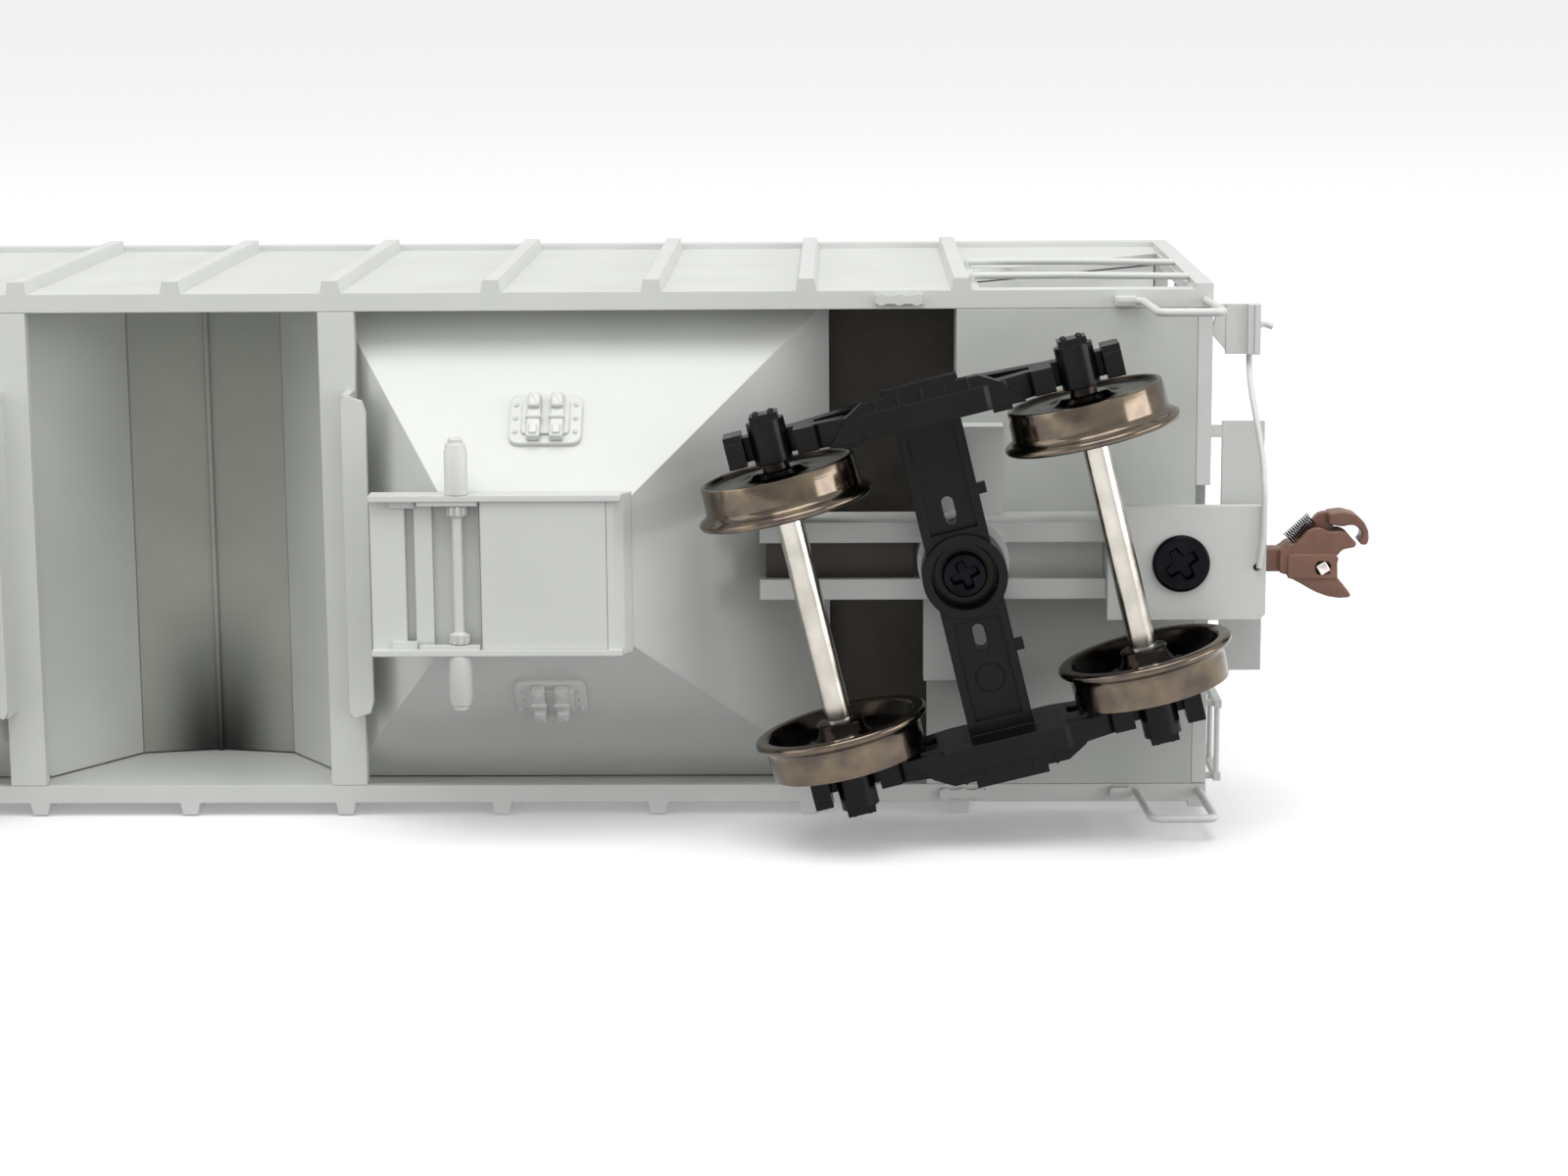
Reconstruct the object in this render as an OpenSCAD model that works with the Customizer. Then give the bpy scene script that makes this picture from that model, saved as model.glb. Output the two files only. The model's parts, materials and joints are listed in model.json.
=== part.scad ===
// HO-scale three-bay covered hopper car, standing upright on its wheels.
// Origin: under the middle of the car at the lowest point of the wheel flanges.
// +X runs along the car to its end A, +Z is up. End B, at -X, carries the hand brake.
// Lengths are in millimetres.

/* [Body] */
// Width over the side posts
body_w = 37.4; // [36.8:0.1:38]
// How far a side post stands out from the side sheet
post_proud = 0.85; // [0.6:0.05:1]
// Thickness of the moulded sheets
sheet_t = 0.8; // [0.7:0.05:0.9]
// Height of the underside of the side sills
sill_z = 14.4; // [14.2:0.1:14.8]
// Height of the eaves
eave_z = 49; // [48:0.5:51]
// Rise of the curved roof above its edge
roof_rise = 1.8; // [1.4:0.1:2.2]
// Half the length over the end sills
end_x = 92.4; // [92:0.1:93]
// Side post spacing over the bays
bay_pitch = 10.93; // [10.85:0.01:11]
// Side post spacing over the gaps and the ends
end_pitch = 10.54; // [10.45:0.01:10.6]

/* [Hopper bays] */
// Height of the lower edge of the slope sheets
slope_foot_z = 6.5; // [6.3:0.1:6.7]
// Half width of the outlet at that height
outlet_half_y = 5.1; // [4.9:0.1:5.2]
// Side slope sheets: sideways run for each unit of height
side_run = 0.97; // [0.95:0.01:0.98]
// End slope sheets: height for each unit of run
end_rise = 0.93; // [0.91:0.01:0.95]
// Cross slope sheets between bays: height for each unit of run
cross_rise = 1.445; // [1.42:0.005:1.46]

/* [Trucks] */
// Wheelbase of a truck
wheelbase = 20.8; // [20.4:0.1:21]
// Radius of the wheel flanges
flange_r = 5.9; // [5.8:0.05:5.95]
// Radius of the wheel treads
tread_r = 5.25; // [5.1:0.05:5.3]
// Distance between the backs of a pair of wheels
back_to_back = 14.8; // [14.5:0.1:15]
// Radius of an axle
axle_r = 0.92; // [0.85:0.01:0.95]
// Swivel of truck A as the car stands, in degrees
truck_a_yaw = -13.6; // [-14:0.1:0]
// Sideways end play that the wheelsets have taken up
end_play = 0.15; // [0:0.05:0.4]
// How far to one side the kingpin screws stand in their loose holes
pin_side = 0.4; // [0:0.05:0.45]

/* [Couplers] */
// Height of the coupler's centre line
coupler_z = 10.55; // [10.4:0.05:10.6]
// Distance from the middle of the car to the coupler's pivot
coupler_x = 89.9; // [89.8:0.05:90]

/* [Hidden] */

body_color = [0.80, 0.81, 0.80];
plastic_black = [0.09, 0.09, 0.10];
steel_dark = [0.17, 0.15, 0.13];
nickel = [0.78, 0.76, 0.70];
wheel_bronze = [0.36, 0.31, 0.27];
coupler_brown = [0.40, 0.25, 0.20];

// Sides: post places along half the car, from the middle out
post_x = [0, bay_pitch, bay_pitch + end_pitch, 2 * bay_pitch + end_pitch,
    3 * bay_pitch + end_pitch, 4 * bay_pitch + end_pitch,
    4 * bay_pitch + 2 * end_pitch, 4 * bay_pitch + 3 * end_pitch];
bolster_x = post_x[7];
gap_x = post_x[2];
side_y = body_w / 2 - post_proud;
inner_y = side_y - sheet_t;
trim_y = inner_y - 0.1;
sill_lip = 1.25;
sill_h = 1.8;
sill_t = 0.7;
lip_y = side_y - sill_lip;
chord_h = 1.6;
post_base = 1.4;
post_top = 1.05;
corner_post = 1.4;

// Roof
roof_edge_z = eave_z + 0.5;
roof_half = side_y + 0.3;
roof_r = (roof_half * roof_half + roof_rise * roof_rise) / (2 * roof_rise);
crown_z = roof_edge_z + roof_rise;
coaming_half = 3.4;
coaming_z = crown_z + 1.0;
coaming_x = 79.5;
hatch_z = 0.9;
board_in = 5.2;
board_out = 8.4;
board_t = 0.4;
board_z = coaming_z + 0.2;
board_x = 93.3;

// Hopper bays: x of each face at its foot, height of the end bays' top edge and of the gap's
bay_foot_in = 40.5;
bay_foot_out = 53.2;
bay_top_z = 18.7;
gap_top_z = 26;
bay_top_y = outlet_half_y + (bay_top_z - slope_foot_z) * side_run;
bay_top_in = bay_foot_in - (bay_top_z - slope_foot_z) / cross_rise;
bay_top_out = bay_foot_out + (bay_top_z - slope_foot_z) / end_rise;
gap_in = bay_foot_in - (gap_top_z - slope_foot_z) / cross_rise;
gap_peak_z = gap_top_z + 1.2;
center_foot = 6.35;
center_knee = 6.7;
center_knee_z = 12.4;
center_top = 2 * gap_x - bay_top_in;
bay_mid = (bay_foot_in + bay_foot_out) / 2;
bearer_w = 2.5;
bearer_x = gap_x + 11.25;
bearer_t = 1;

// Underframe
platform_t = 0.8;
platform_in_near = 75;
platform_in_far = 73;
sill_foot_z = 10;
sill_in = 1.25;
sill_out = 2.65;
box_in = 85;
box_out = 95.6;
box_half = 2.95;
box_foot = coupler_z - 1.05;
cover_t = 0.8;
cover_half = 3.88;
pad_r = 3.1;
pad_z = 9.55;
screw_r = 0.75;
kingpin_r = 1.25;

// Outlet gates
rail_in = 5.0;
rail_out = 5.4;
rail_foot = 4.7;
gate_start = 35.9;
gate_end = 53.2;
shaft_x = 41.7;
shaft_z = 5.45;

// Trucks, in the truck's own frame: x along the truck, y along the axles
axle_z = flange_r;
wheel_w = 2.8;
flange_w = 0.75;
axle_tip = 12.75;
cone_len = 1.5;
frame_in = 10.8;
frame_out = 12.45;
bolster_top = pad_z - 0.15;
bolster_foot = 6.4;

// ---------------------------------------------------------------- helpers

// A shape at end A and the same turned half round at end B
module both_ends() {
    children();
    rotate([0, 0, 180]) children();
}

// A shape and its mirror image across the car
module both_sides() {
    children();
    mirror([0, 1, 0]) children();
}

// A box from its low corner to its high corner
module block(low, high) {
    translate(low) cube(high - low);
}

// A round bar along Y between two y values
module bar_y(r, x, z, y0, y1, facets = 32) {
    translate([x, y0, z]) rotate([-90, 0, 0]) cylinder(r = r, h = y1 - y0, $fn = facets);
}

// A round bar along X between two x values
module bar_x(r, y, z, x0, x1, facets = 32) {
    translate([x0, y, z]) rotate([0, 90, 0]) cylinder(r = r, h = x1 - x0, $fn = facets);
}

// An x-z outline as a plate from y0 to y1
module plate_y(y0, y1) {
    translate([0, y1, 0]) rotate([90, 0, 0]) linear_extrude(y1 - y0) children();
}

function unit(v) = v / norm(v);

// Direction of a path at point i, halfway between the legs that meet there
function heading(path, i) =
    i == 0 ? unit(path[1] - path[0]) :
    i == len(path) - 1 ? unit(path[i] - path[i - 1]) :
    unit(unit(path[i] - path[i - 1]) + unit(path[i + 1] - path[i]));

// Ring of points round path point i; flat is a direction that the path never takes
function ring(path, i, r, sides, flat) =
    let (t = heading(path, i), s = unit(cross(t, flat)), n = cross(s, t))
    [for (k = [0:sides - 1]) path[i] + r * (cos(360 * k / sides) * s + sin(360 * k / sides) * n)];

// A wire of diameter d bent through the points of path
module bent_wire(path, d, flat, sides = 8) {
    last = len(path) - 1;
    points = [for (i = [0:last]) each ring(path, i, d / 2, sides, flat)];
    walls = [for (i = [0:last - 1]) for (k = [0:sides - 1])
        [i * sides + k, i * sides + (k + 1) % sides,
            (i + 1) * sides + (k + 1) % sides, (i + 1) * sides + k]];
    foot = [for (k = [sides - 1:-1:0]) k];
    tip = [for (k = [0:sides - 1]) last * sides + k];
    polyhedron(points = points, faces = concat([foot, tip], walls));
}

// A cross recess for a screw driver, sunk upwards from z = 0
module cross_recess(size, depth) {
    for (turn = [45, 135])
        rotate([0, 0, turn]) translate([-size / 2, -size / 6, -0.1]) cube([size, size / 3, depth + 0.1]);
}

// ---------------------------------------------------------------- sides and roof

// Half outline of the open triangle under the end slope, between bolster post and corner post
module end_opening() {
    foot = sill_z + sill_h;
    near = bolster_x + 1.3;
    far = end_x - corner_post;
    slope_at_near = slope_foot_z + (near - bay_foot_out) * end_rise;
    slope_at_far = slope_foot_z + (far - bay_foot_out) * end_rise;
    polygon([[near, foot], [far, foot], [far, slope_at_far], [near, slope_at_near]]);
}

module side_wall() {
    color(body_color) union() {
        plate_y(inner_y, side_y) difference() {
            translate([-end_x, sill_z]) square([2 * end_x, eave_z - sill_z]);
            end_opening();
            mirror([1, 0]) end_opening();
        }
        block([-end_x, lip_y, sill_z], [end_x, inner_y + 0.1, sill_z + sill_t]);
        block([-end_x, side_y - 0.1, eave_z - chord_h], [end_x, side_y + 0.4, eave_z]);
        for (s = [-1, 1])
            block([s * (end_x - 0.6) - 0.6, side_y - 0.1, sill_z], [s * (end_x - 0.6) + 0.6, side_y + 0.4, eave_z]);
        for (i = [0:7], s = [-1, 1])
            if (i > 0 || s > 0) translate([s * post_x[i], side_y - 0.05, sill_z])
                linear_extrude(eave_z - chord_h - sill_z + 0.1)
                    polygon([[-post_base / 2, 0], [post_base / 2, 0],
                        [post_top / 2, post_proud + 0.05], [-post_top / 2, post_proud + 0.05]]);
    }
}

module side_a() { rotate([0, 0, 180]) side_wall(); }
module side_b() { side_wall(); }

// A length of the roof's arc, raised by lift
module roof_arc(x0, x1, lift) {
    translate([x0, 0, crown_z - roof_r]) rotate([0, 90, 0])
        cylinder(r = roof_r + lift, h = x1 - x0, $fn = 240);
}

module roof() {
    color(body_color) union() {
        difference() {
            intersection() {
                roof_arc(-end_x, end_x, 0);
                block([-end_x, -roof_half, eave_z], [end_x, roof_half, crown_z + 1]);
            }
            intersection() {
                roof_arc(1.6 - end_x, end_x - 1.6, -sheet_t);
                block([-end_x, -trim_y, eave_z - 1], [end_x, trim_y, crown_z + 1]);
            }
        }
        // Raised seams over the side posts, open along the middle for the hatch coaming
        for (i = [0:7], s = [-1, 1]) if (i > 0 || s > 0) difference() {
            intersection() {
                roof_arc(s * post_x[i] - 0.45, s * post_x[i] + 0.45, 0.3);
                block([-end_x, 0.2 - roof_half, eave_z + 0.4], [end_x, roof_half - 0.2, crown_z + 1]);
            }
            block([-end_x, -coaming_half, eave_z], [end_x, coaming_half, crown_z + 2]);
            roof_arc(-end_x, end_x, -0.1);
        }
        difference() {
            block([-coaming_x, -coaming_half, crown_z - 0.4], [coaming_x, coaming_half, coaming_z]);
            block([0.7 - coaming_x, 0.7 - coaming_half, crown_z], [coaming_x - 0.7, coaming_half - 0.7, coaming_z + 1]);
        }
    }
}

// Four crowned trough covers, each with three hold-down bars
module hatch_covers() {
    gap = 0.5;
    length = (2 * coaming_x - 3 * gap) / 4;
    half = coaming_half + 0.3;
    crown_r = 14;
    color(body_color) for (i = [0:3]) translate([i * (length + gap) - coaming_x, 0, coaming_z]) union() {
        intersection() {
            translate([0, 0, hatch_z - crown_r]) rotate([0, 90, 0]) cylinder(r = crown_r, h = length, $fn = 120);
            block([0, -half, 0], [length, half, hatch_z + 1]);
        }
        for (k = [0:2]) translate([length * (2 * k + 1) / 6, 0, 0]) {
            block([-0.35, -half - 0.5, 0.05], [0.35, half + 0.5, hatch_z + 0.15]);
        }
    }
}

function roof_z(y) = crown_z - roof_r + sqrt(roof_r * roof_r - y * y);

// Two long boards beside the hatches and a short cross board at each end, on little legs
module running_boards() {
    color(body_color) both_ends() union() {
        block([-board_x, board_in, board_z], [board_x, board_out, board_z + board_t]);
        for (i = [0:7], s = [-1, 1])
            if (i > 0 || s > 0) translate([s * post_x[i] + 2, 0, 0])
                block([-0.3, board_in + 0.2, roof_z(board_in + 0.2)], [0.3, board_in + 0.8, board_z + 0.1]);
        for (i = [0:7], s = [-1, 1])
            if (i > 0 || s > 0) translate([s * post_x[i] + 2, 0, 0])
                block([-0.3, board_out - 0.8, roof_z(board_out - 0.8)], [0.3, board_out - 0.2, board_z + 0.1]);
        block([end_x - 6.4, board_out - 0.1, board_z], [end_x - 0.4, side_y + 0.4, board_z + board_t]);
        for (x = [end_x - 5.6, end_x - 1.4])
            block([x, side_y - 1.4, roof_z(side_y - 1.4)], [x + 0.6, side_y - 0.6, board_z + 0.1]);
    }
}

// ---------------------------------------------------------------- ends

// Slope sheet, bolster web below its foot and the vertical end sheet above its head, in one fold
module end_slope() {
    web_x = platform_in_near;
    head_x = end_x - 1.6;
    function slope_z(x) = slope_foot_z + (x - bay_foot_out) * end_rise;
    color(body_color) plate_y(-trim_y, trim_y) polygon([
        [web_x, sill_z + platform_t], [web_x + sheet_t, sill_z + platform_t],
        [web_x + sheet_t, slope_z(web_x + sheet_t)], [head_x, slope_z(head_x)],
        [head_x, eave_z], [head_x - sheet_t, eave_z],
        [head_x - sheet_t, slope_z(head_x - sheet_t) + sheet_t * 1.3], [web_x, slope_z(web_x) + sheet_t * 1.3]]);
}

module end_slope_a() { end_slope(); }
module end_slope_b() { rotate([0, 0, 180]) end_slope(); }

// End sill, two posts up to the end sheet and a cross rail, open round the draft gear box
module end_frame() {
    x0 = end_x - 1;
    color(body_color) union() {
        both_sides() {
            block([x0, 4.4, sill_z], [end_x, lip_y - 0.05, sill_z + 3.2]);
            block([x0, 6.2, sill_z + 3.1], [end_x, 7.3, eave_z - 2.2]);
        }
        block([x0, -lip_y + 0.05, eave_z - 2.3], [end_x, lip_y - 0.05, eave_z - 0.05]);
        block([x0, 0.05 - lip_y, sill_z + 16.4], [x0 + 0.8, lip_y - 0.05, sill_z + 17.4]);
        block([x0 + 0.1, -4.5, sill_z + 2.2], [x0 + 0.9, 4.5, sill_z + 3.2]);
    }
}

module end_frame_a() { end_frame(); }
module end_frame_b() { rotate([0, 0, 180]) end_frame(); }

// ---------------------------------------------------------------- hopper bays

// A flat slab that a bay's hull starts or ends on
module slab(x0, x1, half_y, z) {
    block([x0, -half_y, z], [x1, half_y, z + 0.01]);
}

// Skin of the end bay, drawn in by t; it reaches past its ends where t is over 0
module end_bay_skin(t) {
    over = t > 0 ? 0.05 : 0;
    hull() {
        slab(bay_foot_in + t, bay_foot_out - t, outlet_half_y - t, slope_foot_z - over);
        slab(bay_top_in + t, bay_top_out - t, bay_top_y - t, bay_top_z);
    }
    hull() {
        slab(bay_top_in + t, bay_top_out - t, bay_top_y - t, bay_top_z);
        slab(gap_in + t, bay_top_out - t, bay_top_y - t, gap_top_z + over);
    }
}

// Skin of the centre bay: steep up to its knee, then spreading to meet both gaps
module center_bay_skin(t) {
    over = t > 0 ? 0.05 : 0;
    knee_y = outlet_half_y + (center_knee_z - slope_foot_z) * side_run;
    gap_edge = 2 * gap_x - gap_in;
    hull() {
        slab(t - center_foot, center_foot - t, outlet_half_y - t, slope_foot_z - over);
        slab(t - center_knee, center_knee - t, knee_y - t, center_knee_z);
    }
    hull() {
        slab(t - center_knee, center_knee - t, knee_y - t, center_knee_z);
        slab(t - center_top, center_top - t, bay_top_y - t, bay_top_z);
    }
    hull() {
        slab(t - center_top, center_top - t, bay_top_y - t, bay_top_z);
        slab(t - gap_edge, gap_edge - t, bay_top_y - t, gap_top_z + over);
    }
}

module hopper_bay_a() {
    color(body_color) difference() {
        end_bay_skin(0);
        end_bay_skin(sheet_t);
    }
}

module hopper_bay_b() { rotate([0, 0, 180]) hopper_bay_a(); }

module hopper_bay_center() {
    color(body_color) difference() {
        center_bay_skin(0);
        center_bay_skin(sheet_t);
    }
}

// Roofs of the two gaps between bays, each two shallow slopes with a bead along their ridge
module ridge_sheets() {
    edge = gap_in;
    other = 2 * gap_x - gap_in;
    lift = sheet_t * 1.6;
    color(body_color) both_ends() plate_y(-trim_y, trim_y) polygon([
        [other, gap_top_z + 0.06], [gap_x - 0.2, gap_peak_z - 0.05], [gap_x - 0.15, gap_peak_z - 0.35],
        [gap_x + 0.15, gap_peak_z - 0.35], [gap_x + 0.2, gap_peak_z - 0.05], [edge, gap_top_z + 0.06],
        [edge, gap_top_z + lift], [gap_x, gap_peak_z + lift], [other, gap_top_z + lift]]);
}

// A steel block in the pocket between each end bay and its bolster web, and a strip in the sill below it
module ballast_weights() {
    color(steel_dark) both_ends() {
        block([bay_top_out + 0.02, -trim_y, 20], [platform_in_near - 0.02, trim_y, 25]);
        block([62, -1.84, 11.2], [bolster_x - 3.3, 1.84, 12.2]);
    }
}

// Cross beams under the sills, each with a stiffening flange on its bay's side
module crossbearers() {
    flange_half = 11.2;
    color(body_color) for (s = [-1, 1], side = [-1, 1]) union() {
        x = s * gap_x + side * (bearer_x - gap_x);
        lean = side * s;
        block([x + side * bearer_w / 2 - (side > 0 ? bearer_w : 0), 0.02 - lip_y, sill_z],
            [x + side * bearer_w / 2 + (side > 0 ? 0 : bearer_w), lip_y - 0.02, sill_z + bearer_t]);
        translate([x + side * (bearer_w / 2 - 0.1), 0, 0]) mirror([side > 0 ? 0 : 1, 0, 0]) union() {
            block([-0.6, -flange_half, 12], [-0.02, flange_half, sill_z + 0.1]);
            translate([0, 0, 11.6]) linear_extrude(0.5) polygon([
                [-0.6, 0.5 - flange_half], [-0.3, -flange_half], [0.85, 0.4 - flange_half],
                [1.1, 1.2 - flange_half], [1.1, flange_half - 1.2], [0.85, flange_half - 0.4],
                [-0.3, flange_half], [-0.6, flange_half - 0.5]]);
        }
    }
}

// One cover plate with its two hinged clamps, lying on z = 0 with its length along x
module inspection_plate() {
    half_x = 2.45;
    half_y = 2.1;
    corner = 0.8;
    block([-half_x, corner - half_y, 0], [half_x, half_y - corner, 0.35]);
    block([corner - half_x, -half_y, 0], [half_x - corner, half_y, 0.35]);
    for (sx = [-1, 1], sy = [-1, 1])
        translate([sx * (half_x - corner), sy * (half_y - corner), 0]) cylinder(r = corner, h = 0.35, $fn = 32);
    block([-1.6, -1.5, 0.3], [1.6, 1.4, 0.55]);
    for (s = [-1, 1]) translate([s * 0.75, 0, 0]) {
        block([-0.45, -1.75, 0.3], [0.45, 1.9, 0.95]);
        block([-0.45, -1.55, 0.9], [0.45, -0.5, 1.25]);
    }
    for (sx = [-1, 1], k = [-1:1])
        translate([sx * 2.05, k * 1.15, 0.3]) cylinder(r = 0.17, h = 0.17, $fn = 16);
}

module inspection_plates() {
    plate_x = bay_mid + 0.4;
    up = 4.5;
    tilt = atan(1 / side_run);
    color(body_color) both_sides() for (x = [-plate_x, 0, plate_x])
        translate([x, -outlet_half_y - up * side_run, slope_foot_z + up]) rotate([90 + (90 - tilt), 0, 0])
            mirror([0, 1, 0]) inspection_plate();
}

// ---------------------------------------------------------------- outlet gates

// Frame under a bay: two rails, cross members and the bevelled nose, outlet to the right
module gate_frame() {
    color(body_color) union() {
        both_sides() block([gate_start, rail_in, rail_foot], [gate_end - 0.6, rail_out, slope_foot_z]);
        both_sides() block([gate_start + 1.3, rail_in - 0.5, rail_foot + 0.5], [gate_start + 3, rail_in + 0.1, rail_foot + 1]);
        both_sides() block([gate_start + 3.2, rail_in - 0.3, rail_foot + 0.1], [gate_start + 7.2, rail_in + 0.1, rail_foot + 0.7]);
        block([gate_start, -rail_in - 0.1, rail_foot + 0.7], [gate_start + 2.3, rail_in + 0.1, slope_foot_z]);
        block([gate_start + 2.2, -rail_in - 0.1, slope_foot_z - 0.3], [gate_start + 7.2, rail_in + 0.1, slope_foot_z]);
        block([gate_start + 2.9, -rail_in - 0.1, rail_foot + 0.9], [gate_start + 4.1, rail_in + 0.1, slope_foot_z - 0.2]);
        plate_y(-rail_out, rail_out) polygon([
            [gate_end - 1.6, rail_foot + 0.25], [gate_end - 1.1, rail_foot + 0.35], [gate_end - 0.5, rail_foot + 0.8],
            [gate_end, slope_foot_z - 0.3], [gate_end, slope_foot_z], [gate_end - 1.6, slope_foot_z]]);
    }
}

module gate_frame_a() { gate_frame(); }
module gate_frame_b() { rotate([0, 0, 180]) gate_frame(); }
module gate_frame_center() { translate([-bay_mid, 0, 0]) gate_frame(); }

// Places a gate's parts under all three bays
module every_bay() {
    both_ends() children();
    translate([-bay_mid, 0, 0]) children();
}

module gate_plates() {
    color(body_color) every_bay() union() {
        block([gate_start + 7.35, -rail_in, rail_foot + 0.25], [gate_end - 1.62, rail_in, rail_foot + 0.85]);
        block([gate_start + 7.3, -rail_in, rail_foot + 0.8], [gate_start + 7.7, rail_in, slope_foot_z]);
    }
}

// Shaft through both rails, with a pinion inside each and a capstan outside each
module gate_shafts() {
    teeth = 8;
    color(body_color) every_bay() translate([shaft_x, 0, shaft_z]) {
        bar_y(0.34, 0, 0, -rail_in + 0.32, rail_in - 0.32);
        both_sides() {
            bar_y(0.5, 0, 0, 3.9, rail_in - 0.32);
            for (k = [0:teeth - 1]) rotate([0, k * 360 / teeth, 0])
                block([-0.11, 4.0, 0], [0.11, 4.66, 0.68]);
            bar_y(0.78, 0, 0, rail_out + 0.02, 8.9);
            bar_y(0.5, 0, 0, 8.8, 9.2);
        }
    }
}

// ---------------------------------------------------------------- underframe

module end_platforms() {
    color(body_color) both_ends() union() {
        block([platform_in_near, 0.02 - lip_y, sill_z], [end_x - 1.02, lip_y - 0.02, sill_z + platform_t]);
        block([platform_in_far, 2.7, sill_z], [platform_in_near + 0.1, lip_y - 0.02, sill_z + platform_t]);
    }
}

// Channel between the bay and the draft gear box, the body bolster and the truck's centre pad
module center_sill() {
    start = 61.6;
    color(body_color) difference() {
        union() {
            both_sides() {
                block([start, sill_in, sill_foot_z], [box_in - 0.02, sill_out, sill_foot_z + 0.7]);
                block([start, sill_out - 0.8, sill_foot_z], [box_in - 0.02, sill_out, sill_z - 0.02]);
                block([bolster_x - 2.6, sill_out - 0.1, 12.4], [bolster_x + 2.8, 8.8, sill_z - 0.02]);
            }
            block([bolster_x - 2.6, -sill_out, 12.4], [box_in - 0.02, sill_out, sill_z - 0.02]);
            translate([bolster_x, 0, pad_z]) cylinder(r = pad_r, h = 3, $fn = 64);
        }
        translate([bolster_x, 0, pad_z - 1]) cylinder(r = kingpin_r + pin_side, h = 6, $fn = 48);
    }
}

module center_sills() { both_ends() center_sill(); }

// Open-mouthed box with the post that the coupler turns on
module draft_boxes() {
    color(body_color) both_ends() difference() {
        union() {
            difference() {
                block([box_in, -box_half, box_foot], [box_out, box_half, sill_z - 0.02]);
                block([box_in + 1, 0.5 - box_half, box_foot - 1], [box_out + 1, box_half - 0.5, coupler_z + 1.05]);
            }
            translate([coupler_x, 0, box_foot]) cylinder(r = 1.3, h = 3, $fn = 48);
        }
        translate([coupler_x, 0, box_foot - 1]) cylinder(r = screw_r, h = 4.4, $fn = 32);
    }
}

module draft_covers() {
    color(body_color) both_ends() difference() {
        translate([0, 0, box_foot - cover_t]) linear_extrude(cover_t) polygon([
            [box_in, -cover_half], [box_out, -cover_half], [box_out, cover_half - 0.4],
            [box_out - 0.4, cover_half], [box_in, cover_half]]);
        translate([coupler_x, 0, box_foot - 2]) cylinder(r = screw_r, h = 4, $fn = 32);
        translate([box_out - 0.62, 0.3, box_foot - 2]) cylinder(r = 0.25, h = 4, $fn = 24);
    }
}

module cover_screws() {
    head_z = box_foot - cover_t;
    color(plastic_black) both_ends() translate([coupler_x, 0, head_z - 0.45]) difference() {
        union() {
            cylinder(r1 = 1.75, r2 = 1.93, h = 0.2, $fn = 48);
            translate([0, 0, 0.2]) cylinder(r = 1.93, h = 0.25, $fn = 48);
            translate([0, 0, 0.4]) cylinder(r = screw_r, h = 3.9, $fn = 32);
        }
        cross_recess(2.1, 0.4);
    }
}

// Light coil behind each coupler's pivot, as the tube that it fills
module centering_springs() {
    color(nickel) both_ends() translate([box_in + 1.05, 0, coupler_z - 0.7]) difference() {
        block([0, -2.3, 0], [0.9, 2.3, 1.4]);
        block([0.25, -2.05, -1], [2, 2.05, 3]);
    }
}

module crossover_platforms() {
    half = 8.7;
    z = 15.2;
    color(body_color) both_ends() union() {
        block([end_x + 0.85, -half, z], [end_x + 3.75, half, z + 0.5]);
        for (y = [-8.0, 8.0]) block([end_x, y - 0.4, z + 0.02], [end_x + 0.95, y + 0.4, z + 0.48]);
    }
}

// Folded step bracket at one corner of each end, with the arm that ties it to the end sill
module corner_brackets() {
    y0 = -16.8;
    y1 = -13.4;
    color(body_color) both_ends() union() {
        block([end_x + 0.9, y0, 14.6], [end_x + 3.2, y1, 15.1]);
        block([end_x + 2.35, y0, 14.2], [end_x + 2.85, y1, 14.7]);
        block([end_x + 2.8, y0, 14.1], [end_x + 3.2, y1, 15.1]);
        translate([0, 0, 14.65]) linear_extrude(0.4) polygon([
            [end_x, -15.2], [end_x, -14.7], [end_x + 1.1, y1], [end_x + 1.2, y0], [end_x + 0.4, y0]]);
    }
}

// Wire from the handle at the corner to the underside of the draft gear box
module uncoupling_levers() {
    path = [[96.6, -15.1, 15.9], [95.9, -15.4, 15.8], [95.1, -14.6, 15.6], [95.0, -13.0, 15.5], [94.9, -11.9, 14.0], [94.88, -11, 12.6],
        [95.1, -9.2, 11.1], [95.4, -6.8, 9.7], [95.4, -4.8, 8.5], [95.35, -1.8, 8.35], [95.1, 0.3, 8.4]];
    color(body_color) both_ends() bent_wire(path, 0.45, [0, 0, 1]);
}

// Four hanging steps, one under each corner
module stirrup_steps() {
    y = 17.1;
    path = [[85.9, y, 14.05], [87.6, y, 14.05], [88.0, y, 6.6], [92.3, y, 6.6], [91.9, y, 14.3]];
    color(body_color) both_ends() both_sides() bent_wire(path, 0.6, [0, 1, 0]);
}

// Scalloped pads under the side sills beside each truck
module jacking_pads() {
    module pad(x, y) {
        translate([x, y, sill_z - 0.35]) linear_extrude(0.34) union() {
            translate([0, -0.3]) square([3.2, 0.6]);
            for (k = [0.4, 1.6, 2.8]) translate([k, 0]) circle(r = 0.42, $fn = 24);
        }
    }
    color(body_color) both_ends() {
        pad(69.5, 0.6 - side_y);
        pad(73.9, side_y - 0.6);
    }
}

// Two round rails across the open triangle at each corner of the body
module side_rails() {
    y = side_y + 0.45;
    x0 = bolster_x + 0.95;
    x1 = end_x - 1.22;
    color(body_color) both_ends() both_sides() for (z = [20, 30.6])
        bent_wire([[x0, side_y - 0.02, z], [x0, y, z], [(x0 + x1) / 2, y + 0.05, z - 0.5],
            [x1, y, z - 1.2]], 0.5, [0, 0, 1]);
}

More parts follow.
